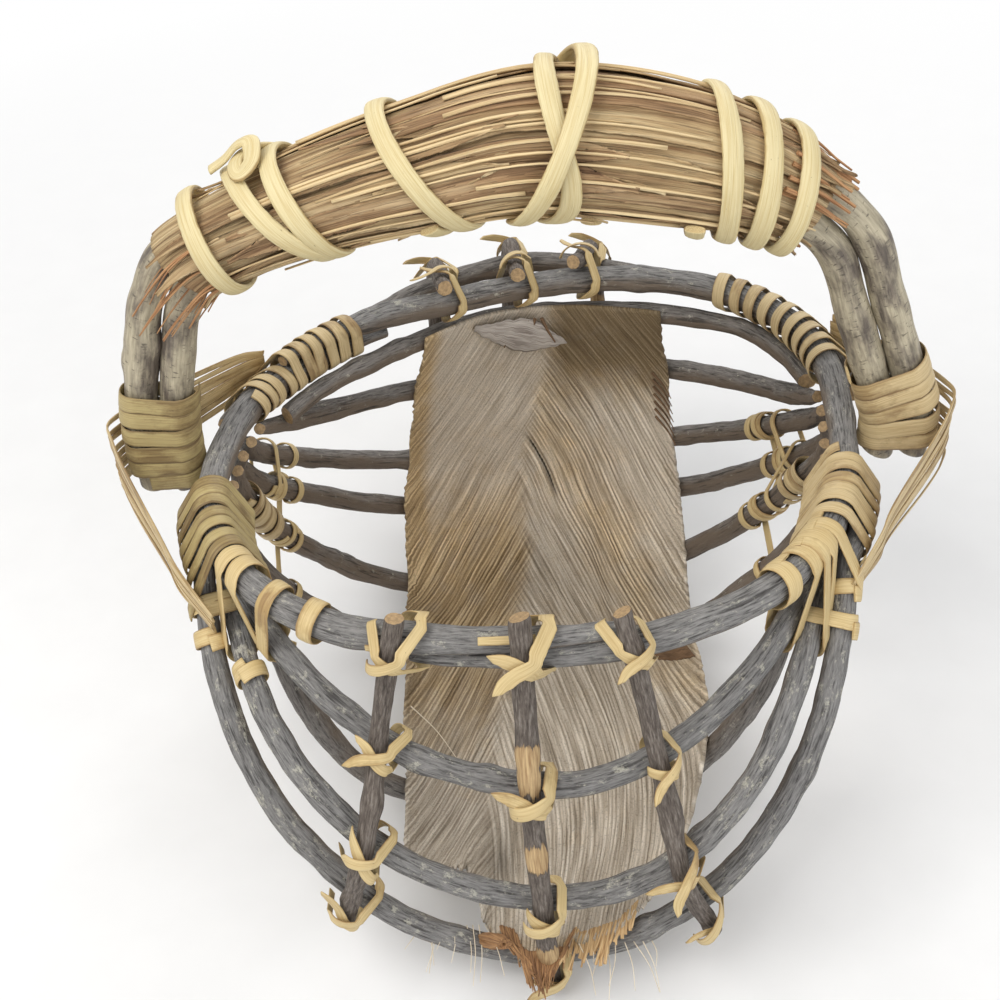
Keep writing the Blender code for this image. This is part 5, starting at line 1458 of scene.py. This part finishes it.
# --- Winding and lacing on the ribs near the ears ---
# A broad strip wound on one rib at the left ear and a narrower one on the same rib at the right, and at
# each ear a thin flat strip that loops round four ribs in turn and ends in a loose tail.
INNER_WINDING = (0.024, 0.068)
INNER_TURNS = 4.7
RIGHT_WINDING = (0.030, 0.050)
RIGHT_TURNS = 4.2
INNER_START = 0.1
LACE_WIDTH = 0.0040
LACE_THICKNESS = 0.0009
LACE_PLACES = 420
LACE_SHIFT = 0.0034
LACE_TAIL = 0.026
LACED = (
    ("back_rib_lower", 0.080),
    ("back_rib_lowest", 0.085),
    ("floor_rib_back", 0.085),
    ("floor_rib_middle", 0.085),
)


def wound_on(route, first, last, turns, side, seed):
    """A strip wound on one rod, between two distances from its tip."""
    odd = uneven(seed, turns)

    def frame_at(share):
        point, along = along_rod(route, first + (last - first) * share + 0.0012 * odd(share)[0], side)
        return point, along, unit(np.cross(along, np.array([0.0, 1.0, 0.0])))

    return wind([route], frame_at, turns, INNER_START, lambda share: WRAP_EASE + RIDGE * odd(share)[1])


def lacing(side):
    """A flat strip that loops once round each rib and crosses to the next on the outside."""
    places = [along_rod(rods[name], distance, side) for name, distance in LACED]
    path, outs = [], []
    for k, (point, along) in enumerate(places):
        onward = places[min(k + 1, len(places) - 1)][0] - places[max(k - 1, 0)][0]
        out = unit(np.cross(along, onward))
        if out @ (point - BASKET_HEART) < 0:
            out = -out
        across = np.cross(along, out)
        if across @ onward < 0:
            across = -across
        drift = math.copysign(LACE_SHIFT, onward @ along)
        for share in np.linspace(0, 1, 17):
            ring = math.cos(2 * math.pi * share) * out + math.sin(2 * math.pi * share) * across
            path.append(point + (RIB_RADIUS + SEAT_GAP + ROD_ROOM) * ring + drift * (share - 0.5) * along)
            outs.append(ring)
    tail = unit(along + across + 0.6 * out)
    for t in np.linspace(0, 1, 12)[1:]:
        path.append(path[-1] + LACE_TAIL / 11 * unit(tail + 0.7 * (t - 0.3) * along - 0.5 * t * UP))
        outs.append(unit(out - 0.3 * tail))
    path = np.array(path)
    smooth = smooth_path(path[::2], LACE_PLACES)
    outs = unit_rows(sampled(path, np.array(outs), np.linspace(0, lengths_along(path)[-1], LACE_PLACES)))
    return smooth, outs, evened(np.cross(np.gradient(smooth, axis=0), outs), 3)


path = wound_on(rods["floor_rib_back"], *INNER_WINDING, INNER_TURNS, LEFT, 300)
mesh = strip_mesh("inner winding", path, FOOT_WIDTH, CANE_THICKNESS, 301)
add_piece("dressed_inner_winding_left", mesh, "split_cane", (wrap_cane, split_cane), "inner_winding_left")
path = wound_on(rods["floor_rib_back"], *RIGHT_WINDING, RIGHT_TURNS, RIGHT, 302)
mesh = strip_mesh("right winding", path, WRAP_WIDTH, WRAP_THICKNESS, 303, lean=0.10)
add_piece("inner_winding_right", mesh, "split_cane", (wrap_cane, split_cane))
for side, hand in ((LEFT, "left"), (RIGHT, "right")):
    mesh = strip_mesh(f"lacing {hand}", lacing(side), LACE_WIDTH, LACE_THICKNESS, 320 + side, (False, True))
    add_piece(f"dressed_rib_lacing_{hand}", mesh, "split_cane", (split_cane, split_cane), f"rib_lacing_{hand}")

# --- Bands round the outside of the feet ---
# Nine thin strips of cane, drawn from the back wrap round the outside of each foot and into the front
# wrap, where they are caught under its last turns.
BAND_STRIPS = 9
BAND_WIDTH = 0.0027
BAND_THICKNESS = 0.0008
BAND_OUT = BUNDLE_STEP + WHITTLED_RADIUS + 2 * SEAT_GAP + WINDING_ROOM + CANE_THICKNESS
FOOT_FACE = FOOT_OUT + HANDLE_APART / 2 + HANDLE_RADIUS + 2 * SEAT_GAP + WINDING_ROOM + CANE_THICKNESS


def band_strip(side, level, seed):
    """One strip of a band. level is 0 for the lowest and 1 for the highest."""
    random = np.random.default_rng(seed)
    foot = side * (hoop_point(0.0)[0] + FOOT_FACE + SEAT_GAP)
    stations = (
        (beside_hoop(ear_angle(side, -36), BAND_OUT - 0.0010, 0.0), -0.015, 0.003),
        (beside_hoop(ear_angle(side, -28), BAND_OUT + 0.0020, 0.0), -0.009, 0.006),
        (beside_hoop(ear_angle(side, -22), BAND_OUT + 0.0040, 0.0), -0.006, 0.009),
        (np.array([foot, -0.008, 0.0]), 0.000, 0.014),
        (np.array([foot, 0.008, 0.0]), 0.002, 0.014),
        (beside_hoop(ear_angle(side, 24), BAND_OUT + 0.0030, 0.0), -0.002, 0.009),
        (beside_hoop(ear_angle(side, 32), BAND_OUT, 0.0), -0.004, 0.006),
    )
    out = np.array([side, 0.0, 0.0])
    controls = []
    for point, middle, half in stations:
        stray = random.uniform(-0.0010, 0.0010)
        controls.append(point + (middle + half * (2 * level - 1) + stray) * UP + random.uniform(0, 0.0012) * out)
    path = smooth_path(controls, 90)
    along = unit_rows(np.gradient(path, axis=0))
    lean = random.uniform(-0.25, 0.25)
    outs = np.cross(along, UP) * -side
    outs = unit_rows(np.where((outs @ out)[:, None] > 0, outs, -outs) + lean * UP)
    return path, outs, evened(np.cross(along, outs), 2)


for side, hand, seed in ((LEFT, "left", 400), (RIGHT, "right", 440)):
    strips = []
    for k in range(BAND_STRIPS):
        path = band_strip(side, k / (BAND_STRIPS - 1), seed + k)
        strips.append(strip_mesh(f"band {hand} {k}", path, BAND_WIDTH, BAND_THICKNESS, seed + 20 + k))
    mesh = joined(f"band {hand}", strips)
    add_piece(f"dressed_outer_band_{hand}", mesh, "split_cane", (wrap_cane, split_cane), f"outer_band_{hand}")

# --- The grip ---
# Palm bark rolled round the two rods of the handle, thickest right of the middle. Its layers lie
# lengthwise, and its ends fray.
GRIP_END_RADIUS = 0.0165
GRIP_MIDDLE_RADIUS = 0.0245
GRIP_LEFT = -0.122
GRIP_RIGHT = 0.102
GRIP_THICK_END = 1.7
GRIP_LENGTH = 0.27
GRIP_USUAL_RADIUS = 0.022
GRIP_STATIONS = 170
GRIP_AROUND = 150
SPLINT_COUNT = 46
SPLINT_THICKNESS = 0.0006
STRAW_PLACES = 8


def grip_frame(u):
    """The roll's middle at a share of its length, its direction and the way up out of it."""
    start, end = (float(np.interp(x, arch[:, 0], lengths_along(arch))) for x in (GRIP_LEFT, GRIP_RIGHT))
    wanted = start + (end - start) * u
    here, along = sampled(arch, arch, [wanted])[0], unit(sampled(arch, unit_rows(arch_along), [wanted])[0])
    return here, along, np.array([-along[2], 0.0, along[0]])


def grip_radius(u):
    swell = math.sin(math.pi * min(max(u, 0.0), 1.0) ** GRIP_THICK_END)
    return GRIP_END_RADIUS + (GRIP_MIDDLE_RADIUS - GRIP_END_RADIUS) * swell


def grip_place(us, angles, lifts):
    """Points at shares of the roll's length, at angles from its top towards the back, and their heights."""
    fine = np.linspace(0, 1, 200)
    frames = [grip_frame(u) for u in fine]
    inside = np.clip(us, 0, 1)

    def between(rows):
        return np.stack([np.interp(inside, fine, rows[:, k]) for k in range(3)], axis=1)

    here, along, up = (between(np.array([one[k] for one in frames])) for k in range(3))
    radius = np.interp(inside, fine, [grip_radius(u) for u in fine]) + lifts
    way = np.cos(angles)[:, None] * up + np.sin(angles)[:, None] * np.array([0.0, 1.0, 0.0])
    return here + radius[:, None] * way + ((us - inside) * GRIP_LENGTH)[:, None] * along


def grip_grain(us, angles, stretch=1.0):
    """Coordinates on the roll for its pattern: along it, and round it on its usual radius."""
    round_it = GRIP_USUAL_RADIUS * np.cos(angles), GRIP_USUAL_RADIUS * np.sin(angles)
    return np.stack([us * GRIP_LENGTH * stretch, *round_it], axis=1)


def bark_relief(us, angles, seed):
    """Lengthwise folds and fibres of the rolled bark, in metres."""
    ring = grip_grain(us, angles, 0.10)
    folds = noisy(ring, 210, seed)
    fibres = noisy(ring * [0.5, 1, 1], 900, seed + 3)
    threads = noisy(ring * [0.5, 1, 1], 2100, seed + 5)
    return 0.0011 * folds + 0.00055 * fibres + 0.0002 * threads


def roll_mesh():
    """The roll under its loose layers, a little thinner than the grip."""

    def place_at(rows, turns):
        us, angles = rows / (GRIP_STATIONS - 1), 2 * math.pi * turns
        placed = grip_place(us, angles, bark_relief(us, angles, 1.0) - 0.0020)
        grain = grip_grain(us, angles)
        return placed, grain, np.clip(0.5 + 0.5 * noisy(grain * [0.5, 1, 1], 90, 7), 0, 1)

    return tube("bark roll", GRIP_STATIONS, GRIP_AROUND, place_at)


def splint_mesh(name, first, last, middle, width, lift, seed):
    """A flat splint of bark laid lengthwise on the roll, with a ragged outline and lifted ends."""
    shape = bmesh.new()
    bmesh.ops.create_grid(shape, x_segments=80, y_segments=8, size=1.0)
    flat = np.array([corner.co[:] for corner in shape.verts])
    along, aside = (flat[:, 0] + 1) / 2, flat[:, 1]
    by_length = np.stack([along, np.sign(aside) * 3, 0 * along], axis=1)
    ragged = 1 + 0.20 * noisy(by_length, 9, seed) + 0.08 * noisy(by_length, 50, seed)
    end = 0.012 * noisy(np.stack([aside, 0 * aside, 0 * aside], axis=1), 4, seed + 2)
    us = first + (last - first) * along + end * np.where(along < 0.5, -1, 1) * np.abs(2 * along - 1) ** 4
    bend = 0.06 * noisy(np.stack([along, 0 * along, 0 * along], axis=1), 2.2, seed + 9)
    taper = np.clip(np.minimum(along, 1 - along) / 0.14, 0.15, 1)
    angles = middle + bend + width / GRIP_USUAL_RADIUS / 2 * aside * ragged * taper
    free = np.clip(1 - np.minimum(along, 1 - along) / 0.10, 0, 1) ** 2
    height = lift + bark_relief(us, angles, 1.0) + 0.0016 * free + 0.0003 * np.abs(aside) ** 3
    grain = shape.verts.layers.float_vector.new("grain")
    wear_tone_and_shade = shape.verts.layers.float.new("wear_tone_and_shade")
    tone = np.random.default_rng(int(seed)).uniform(0.1, 0.95)
    for corner, place, a, b in zip(shape.verts, grip_place(us, angles, height) + RIM_CENTRE, us, angles):
        corner.co = place
        corner[grain] = (a * GRIP_LENGTH + seed, GRIP_USUAL_RADIUS * b, seed * 0.1)
        corner[wear_tone_and_shade] = tone
    bmesh.ops.solidify(shape, geom=shape.faces[:], thickness=SPLINT_THICKNESS)
    bmesh.ops.recalc_face_normals(shape, faces=shape.faces)
    mesh = bpy.data.meshes.new(name)
    shape.to_mesh(mesh)
    shape.free()
    mesh.shade_smooth()
    return mesh


def grip_material():
    made, tree, shader = named_material("rolled palm bark", 0.85)
    coarse = grain_noise(tree, 30.0, 420, 4.0, 0.6)
    fine = grain_noise(tree, 45.0, 1700, 4.0, 0.6, 4.0)
    warm = grain_noise(tree, 3.0, 45, 4.0, 0.6, 8.0)
    tone = add_node(tree, "ShaderNodeAttribute", {"attribute_name": "wear_tone_and_shade"}).outputs["Fac"]
    straw = stops(tree, coarse, (0.32, (0.20, 0.11, 0.045)), (0.5, (0.48, 0.34, 0.175)), (0.70, (0.74, 0.59, 0.35)))
    pink = stops(tree, coarse, (0.32, (0.12, 0.06, 0.028)), (0.5, (0.35, 0.21, 0.105)), (0.70, (0.53, 0.36, 0.20)))
    share = figured(tree, "ADD", figured(tree, "MULTIPLY", tone, 0.5), figured(tree, "MULTIPLY", warm, 0.6))
    colour = mixed(tree, stops(tree, share, (0.50, (0.0,)), (0.78, (1.0,))), straw, pink)
    colour = mixed(tree, 1.0, colour, stops(tree, fine, (0.32, (0.48,)), (0.50, (0.98,)), (0.72, (1.16,))), "MULTIPLY")
    tree.links.new(colour, shader.inputs["Base Color"])
    finish_bump(tree, shader, figured(tree, "ADD", coarse, fine), 0.0008, 0.9)
    return made


palm_bark = grip_material()
splint_place = np.random.default_rng(12)
splints = [roll_mesh()]
for k in range(SPLINT_COUNT):
    middle =2 * math.pi * ((k * 0.381) % 1.0) + splint_place.uniform(-0.2, 0.2)
    first = splint_place.uniform(-0.03, 0.40)
    last = min(first + splint_place.uniform(0.50, 1.0), 1.02)
    width = splint_place.uniform(0.003, 0.010)
    splints.append(splint_mesh(f"splint {k}", first, last, middle, width, 0.00003 * k - 0.0011, 30.0 + k))
add_piece("dressed_grip", joined("grip", splints), "palm_bark_roll", (palm_bark, palm_bark), "grip_bark_roll")


def grip_straw(first, last, angle, lift, sag):
    """Points of a straw that lies on the roll and lifts or sags off it at its free end."""
    us = np.linspace(first, last, STRAW_PLACES)
    onward = np.linspace(0, 1, STRAW_PLACES)
    drift = splint_place.uniform(-0.12, 0.12)
    return grip_place(us, angle + drift * onward, lift) - (sag * onward**3)[:, None] * UP


# Straws of the bark that came loose: along the roll, out of its left end and out of its right end
straws, reddish = [], []
for k in range(40):
    angle = 2 * math.pi * ((k * 0.618) % 1.0)
    first = splint_place.uniform(0.0, 0.5)
    last = min(first + splint_place.uniform(0.25, 0.7), 1.0)
    first, last = (first, last) if k % 2 else (last, first)
    lift, sag = splint_place.uniform(0.0004, 0.0012), splint_place.uniform(-0.001, 0.002)
    points = grip_straw(first, last, angle, lift, sag)
    straws.append((points, splint_place.uniform(0.0004, 0.0009), 0.5))
for k in range(30):
    angle = math.pi * splint_place.uniform(0.75, 1.7)
    points = grip_straw(0.06, splint_place.uniform(-0.10, -0.02), angle, splint_place.uniform(-0.006, 0.0015), 0.004)
    reddish.append((points, splint_place.uniform(0.0003, 0.0007), 0.5))
for k in range(26):
    angle = 2 * math.pi * splint_place.uniform()
    points = grip_straw(0.92, splint_place.uniform(1.01, 1.045), angle, splint_place.uniform(-0.003, 0.0015), 0.001)
    reddish.append((points, splint_place.uniform(0.0006, 0.0013), 0.6))
pale_straw = fibre_material("grip straw", (0.74, 0.58, 0.33), (0.48, 0.33, 0.16))
add_fibres("grip_straws", straws, "palm_bark_roll", pale_straw)
red_straw = fibre_material("grip fray", (0.50, 0.28, 0.13), (0.27, 0.12, 0.05))
add_fibres("grip_fray", reddish, "palm_bark_roll", red_straw)

# --- Ties round the grip ---
# Half-round cane, pale and thicker than the strips elsewhere: a pair of turns with a knot at the left,
# a single turn, a crossed pair on top and a spiral at the right.
TIE_WIDTH = 0.0072
TIE_THICKNESS = 0.0027
TIE_EASE = 0.0010
TIE_FLATNESS = 0.75
TIE_AROUND = 18
# Turns, the first turn's start, and shares of the way with their places along the grip and their slants
GRIP_TIES = {
    "grip_tie_left_end": (2.9, 0.55, ((0.0, 0.033, -12), (0.40, 0.090, -8), (0.62, 0.21, 14), (1.0, 0.23, 14))),
    "grip_tie_left_middle": (1.3, 0.35, ((0.0, 0.373, 22), (1.0, 0.428, 22))),
    "grip_tie_crossed": (2.0, 0.42, ((0.0, 0.62, 23), (0.4, 0.62, 23), (0.6, 0.59, -28), (1.0, 0.59, -28))),
    "grip_tie_right_spiral": (3.3, 0.35, ((0.0, 0.800, 18), (0.88, 0.965, 14), (1.0, 0.972, 14))),
}
TIE_CLIMB = ((0.0, 0.50, 0.64, 0.92, 1.0), (0.0, 0.0, TIE_THICKNESS + CANE_EASE, TIE_THICKNESS + CANE_EASE, 0.0))
roll_route = (
    np.array([grip_frame(u)[0] for u in np.linspace(0, 1, 60)]),
    np.array([grip_radius(u) for u in np.linspace(0, 1, 60)]),
)


def tie_path(node):
    """A tie's way round the roll, at its places along it and its slants."""
    turns, start, keys = GRIP_TIES[node]
    shares, places, slants = zip(*keys)

    def frame_at(share):
        centre, along, up = grip_frame(float(np.interp(share, shares, places)))
        slant = math.radians(float(np.interp(share, shares, slants)))
        return centre, math.cos(slant) * along + math.sin(slant) * up, math.cos(slant) * up - math.sin(slant) * along

    def lift(share):
        climb = float(np.interp(share, *TIE_CLIMB)) if node == "grip_tie_crossed" else 0.0
        return SEAT_GAP + TIE_EASE + climb

    return wind([roll_route], frame_at, turns, start, lift, 2 * GRIP_MIDDLE_RADIUS, 60)


pale_cane = cane_material("pale round cane", (0.68, 0.58, 0.33), (0.58, 0.45, 0.21), (0.36, 0.24, 0.10), 0.78)
for seed, node in enumerate(GRIP_TIES):
    path = tie_path(node)
    mesh = strip_mesh(node, path, TIE_WIDTH, TIE_THICKNESS, 700 + seed, flatness=TIE_FLATNESS, around=TIE_AROUND)
    add_piece("dressed_" + node, mesh, "pale_round_cane", (pale_cane, split_cane), node)

# The left tie's end, in a half hitch at its second turn, with the free end pointing left
HITCH_WIDTH = 0.0064
HITCH_THICKNESS = 0.0026
HITCH_STATIONS = 90
KNOT_PLACES = (0.208, 0.190, 0.172, 0.160, 0.165, 0.186, 0.190, 0.168, 0.142, 0.118)
KNOT_ANGLES = (0.60, 0.34, 0.12, -0.12, -0.34, -0.24, 0.02, 0.10, 0.08, 0.04)
KNOT_LIFTS = (0.0010, 0.0038, 0.0050, 0.0046, 0.0040, 0.0050, 0.0082, 0.0084, 0.0060, 0.0052)
knot = grip_place(np.array(KNOT_PLACES), np.array(KNOT_ANGLES), np.array(KNOT_LIFTS))
knot_ways = np.array([grip_frame(u)[0] for u in KNOT_PLACES])
path = smooth_path(knot, HITCH_STATIONS)
outs = unit_rows(path - sampled(knot, knot_ways, np.linspace(0, lengths_along(knot)[-1], HITCH_STATIONS)))
path = path, outs, evened(np.cross(np.gradient(path, axis=0), outs), 2)
mesh = strip_mesh(
    "half hitch", path, HITCH_WIDTH, HITCH_THICKNESS, 710, flatness=TIE_FLATNESS, around=TIE_AROUND
)
add_piece("grip_tie_knot", mesh, "pale_round_cane", (pale_cane, split_cane))

# --- Studio ---
# A pale floor, one large soft lamp above and to the left, a wide fill at the right, another behind, and the
# camera, which looks down from in front as in the photograph.
CAMERA_DISTANCE = 0.600
CAMERA_ELEVATION = math.radians(39)
CAMERA_ROLL = math.radians(-2.6)
CAMERA_LENS, CAMERA_SENSOR = 54.0, 36.0
# The picture's middle, the rim's middle in it, and the lens's focal length, all in pixels
PICTURE_MIDDLE = 500
RIM_SEEN_AT = (533, 443)
FOCAL_LENGTH = 1500
AIM_OFF = tuple((PICTURE_MIDDLE - seen) / FOCAL_LENGTH for seen in RIM_SEEN_AT)


def camera_pose():
    """The camera's place, and its directions to the right, up and forward."""
    s, c = math.sin(CAMERA_ELEVATION), math.cos(CAMERA_ELEVATION)
    place = np.array([0.0, -CAMERA_DISTANCE * c, CAMERA_DISTANCE * s])
    right, up = np.array([1.0, 0.0, 0.0]), np.array([0.0, s, c])
    forward = unit(-unit(place) + AIM_OFF[0] * right - AIM_OFF[1] * up)
    right = unit(np.cross(forward, up))
    up = np.cross(right, forward)
    turn_c, turn_s = math.cos(CAMERA_ROLL), math.sin(CAMERA_ROLL)
    return place + RIM_CENTRE, right * turn_c + up * turn_s, up * turn_c - right * turn_s, forward


place, right, up, forward = camera_pose()
view = bpy.data.cameras.new("camera")
view.lens = CAMERA_LENS
view.sensor_width = CAMERA_SENSOR
camera = bpy.data.objects.new("camera", view)
camera.matrix_world = Matrix(
    [(*row, at) for row, at in zip(np.stack([right, up, -forward], axis=1), place)] + [(0, 0, 0, 1)]
)
bpy.context.scene.collection.objects.link(camera)
bpy.context.scene.camera = camera


def seen_share(tree):
    """1 for rays from the camera and in reflections or glass, else 0."""
    path = tree.nodes.new("ShaderNodeLightPath").outputs
    seen = figured(tree, "MAXIMUM", path["Is Camera Ray"], path["Is Glossy Ray"])
    return figured(tree, "MAXIMUM", seen, path["Is Transmission Ray"])


def paper_material():
    """Pale paper that takes the basket's soft shadow, and runs out into white away from it."""
    made, tree, shader = named_material("pale studio paper", 0.9)
    tooth = add_node(tree, "ShaderNodeTexNoise", None, Scale=300.0, Detail=4.0).outputs["Fac"]
    tree.links.new(stops(tree, tooth, (0.3, (0.80,)), (0.7, (0.82,))), shader.inputs["Base Color"])
    place = tree.nodes.new("ShaderNodeTexCoord").outputs["Object"]
    distance = add_node(tree, "ShaderNodeVectorMath", {"operation": "LENGTH"}, Vector=place).outputs["Value"]
    away = stops(tree, figured(tree, "MULTIPLY", distance, 0.5), (0.14, (0.0,)), (0.42, (1.0,)))
    white = add_node(tree, "ShaderNodeEmission", None, Color=(1.0, 1.0, 1.0, 1.0), Strength=1.0)
    both = tree.nodes.new("ShaderNodeMixShader")
    tree.links.new(figured(tree, "MULTIPLY", away, seen_share(tree)), both.inputs[0])
    tree.links.new(shader.outputs["BSDF"], both.inputs[1])
    tree.links.new(white.outputs["Emission"], both.inputs[2])
    tree.links.new(both.outputs["Shader"], tree.nodes["Material Output"].inputs["Surface"])
    return made


floor_mesh = bpy.data.meshes.new("floor")
floor_shape = bmesh.new()
bmesh.ops.create_grid(floor_shape, x_segments=8, y_segments=8, size=4.0)
floor_shape.to_mesh(floor_mesh)
floor_shape.free()
floor_mesh.materials.append(paper_material())
floor_sheet = bpy.data.objects.new("studio_floor", floor_mesh)
floor_sheet.location.z = -0.0002
bpy.context.scene.collection.objects.link(floor_sheet)

LAMPS = (
    ("key", (-0.6, -0.5, 1.2), 0.9, 12.0, (1.0, 0.98, 0.95)),
    ("fill", (0.8, -1.0, 0.8), 1.2, 8.0, (0.95, 0.97, 1.0)),
    ("back", (0.3, 1.1, 1.1), 1.0, 8.0, (1.0, 1.0, 1.0)),
)
for name, place, size, power, colour in LAMPS:
    lamp = bpy.data.lights.new(name, "AREA")
    lamp.energy = power
    lamp.size = size
    lamp.color = colour
    lamp_object = bpy.data.objects.new(name, lamp)
    lamp_object.location = place
    lamp_object.rotation_euler = (Vector((0, 0, 0.12)) - Vector(place)).to_track_quat("-Z", "Y").to_euler()
    bpy.context.scene.collection.objects.link(lamp_object)

sky = bpy.data.worlds.new("studio air")
sky.use_nodes = True
tree = sky.node_tree
strength = figured(tree, "ADD", figured(tree, "MULTIPLY", seen_share(tree), 0.5), 0.5)
background = tree.nodes["Background"]
background.inputs["Color"].default_value = (1.0, 1.0, 1.0, 1.0)
tree.links.new(strength, background.inputs["Strength"])
bpy.context.scene.world = sky
bpy.context.scene.view_settings.view_transform = "Standard"
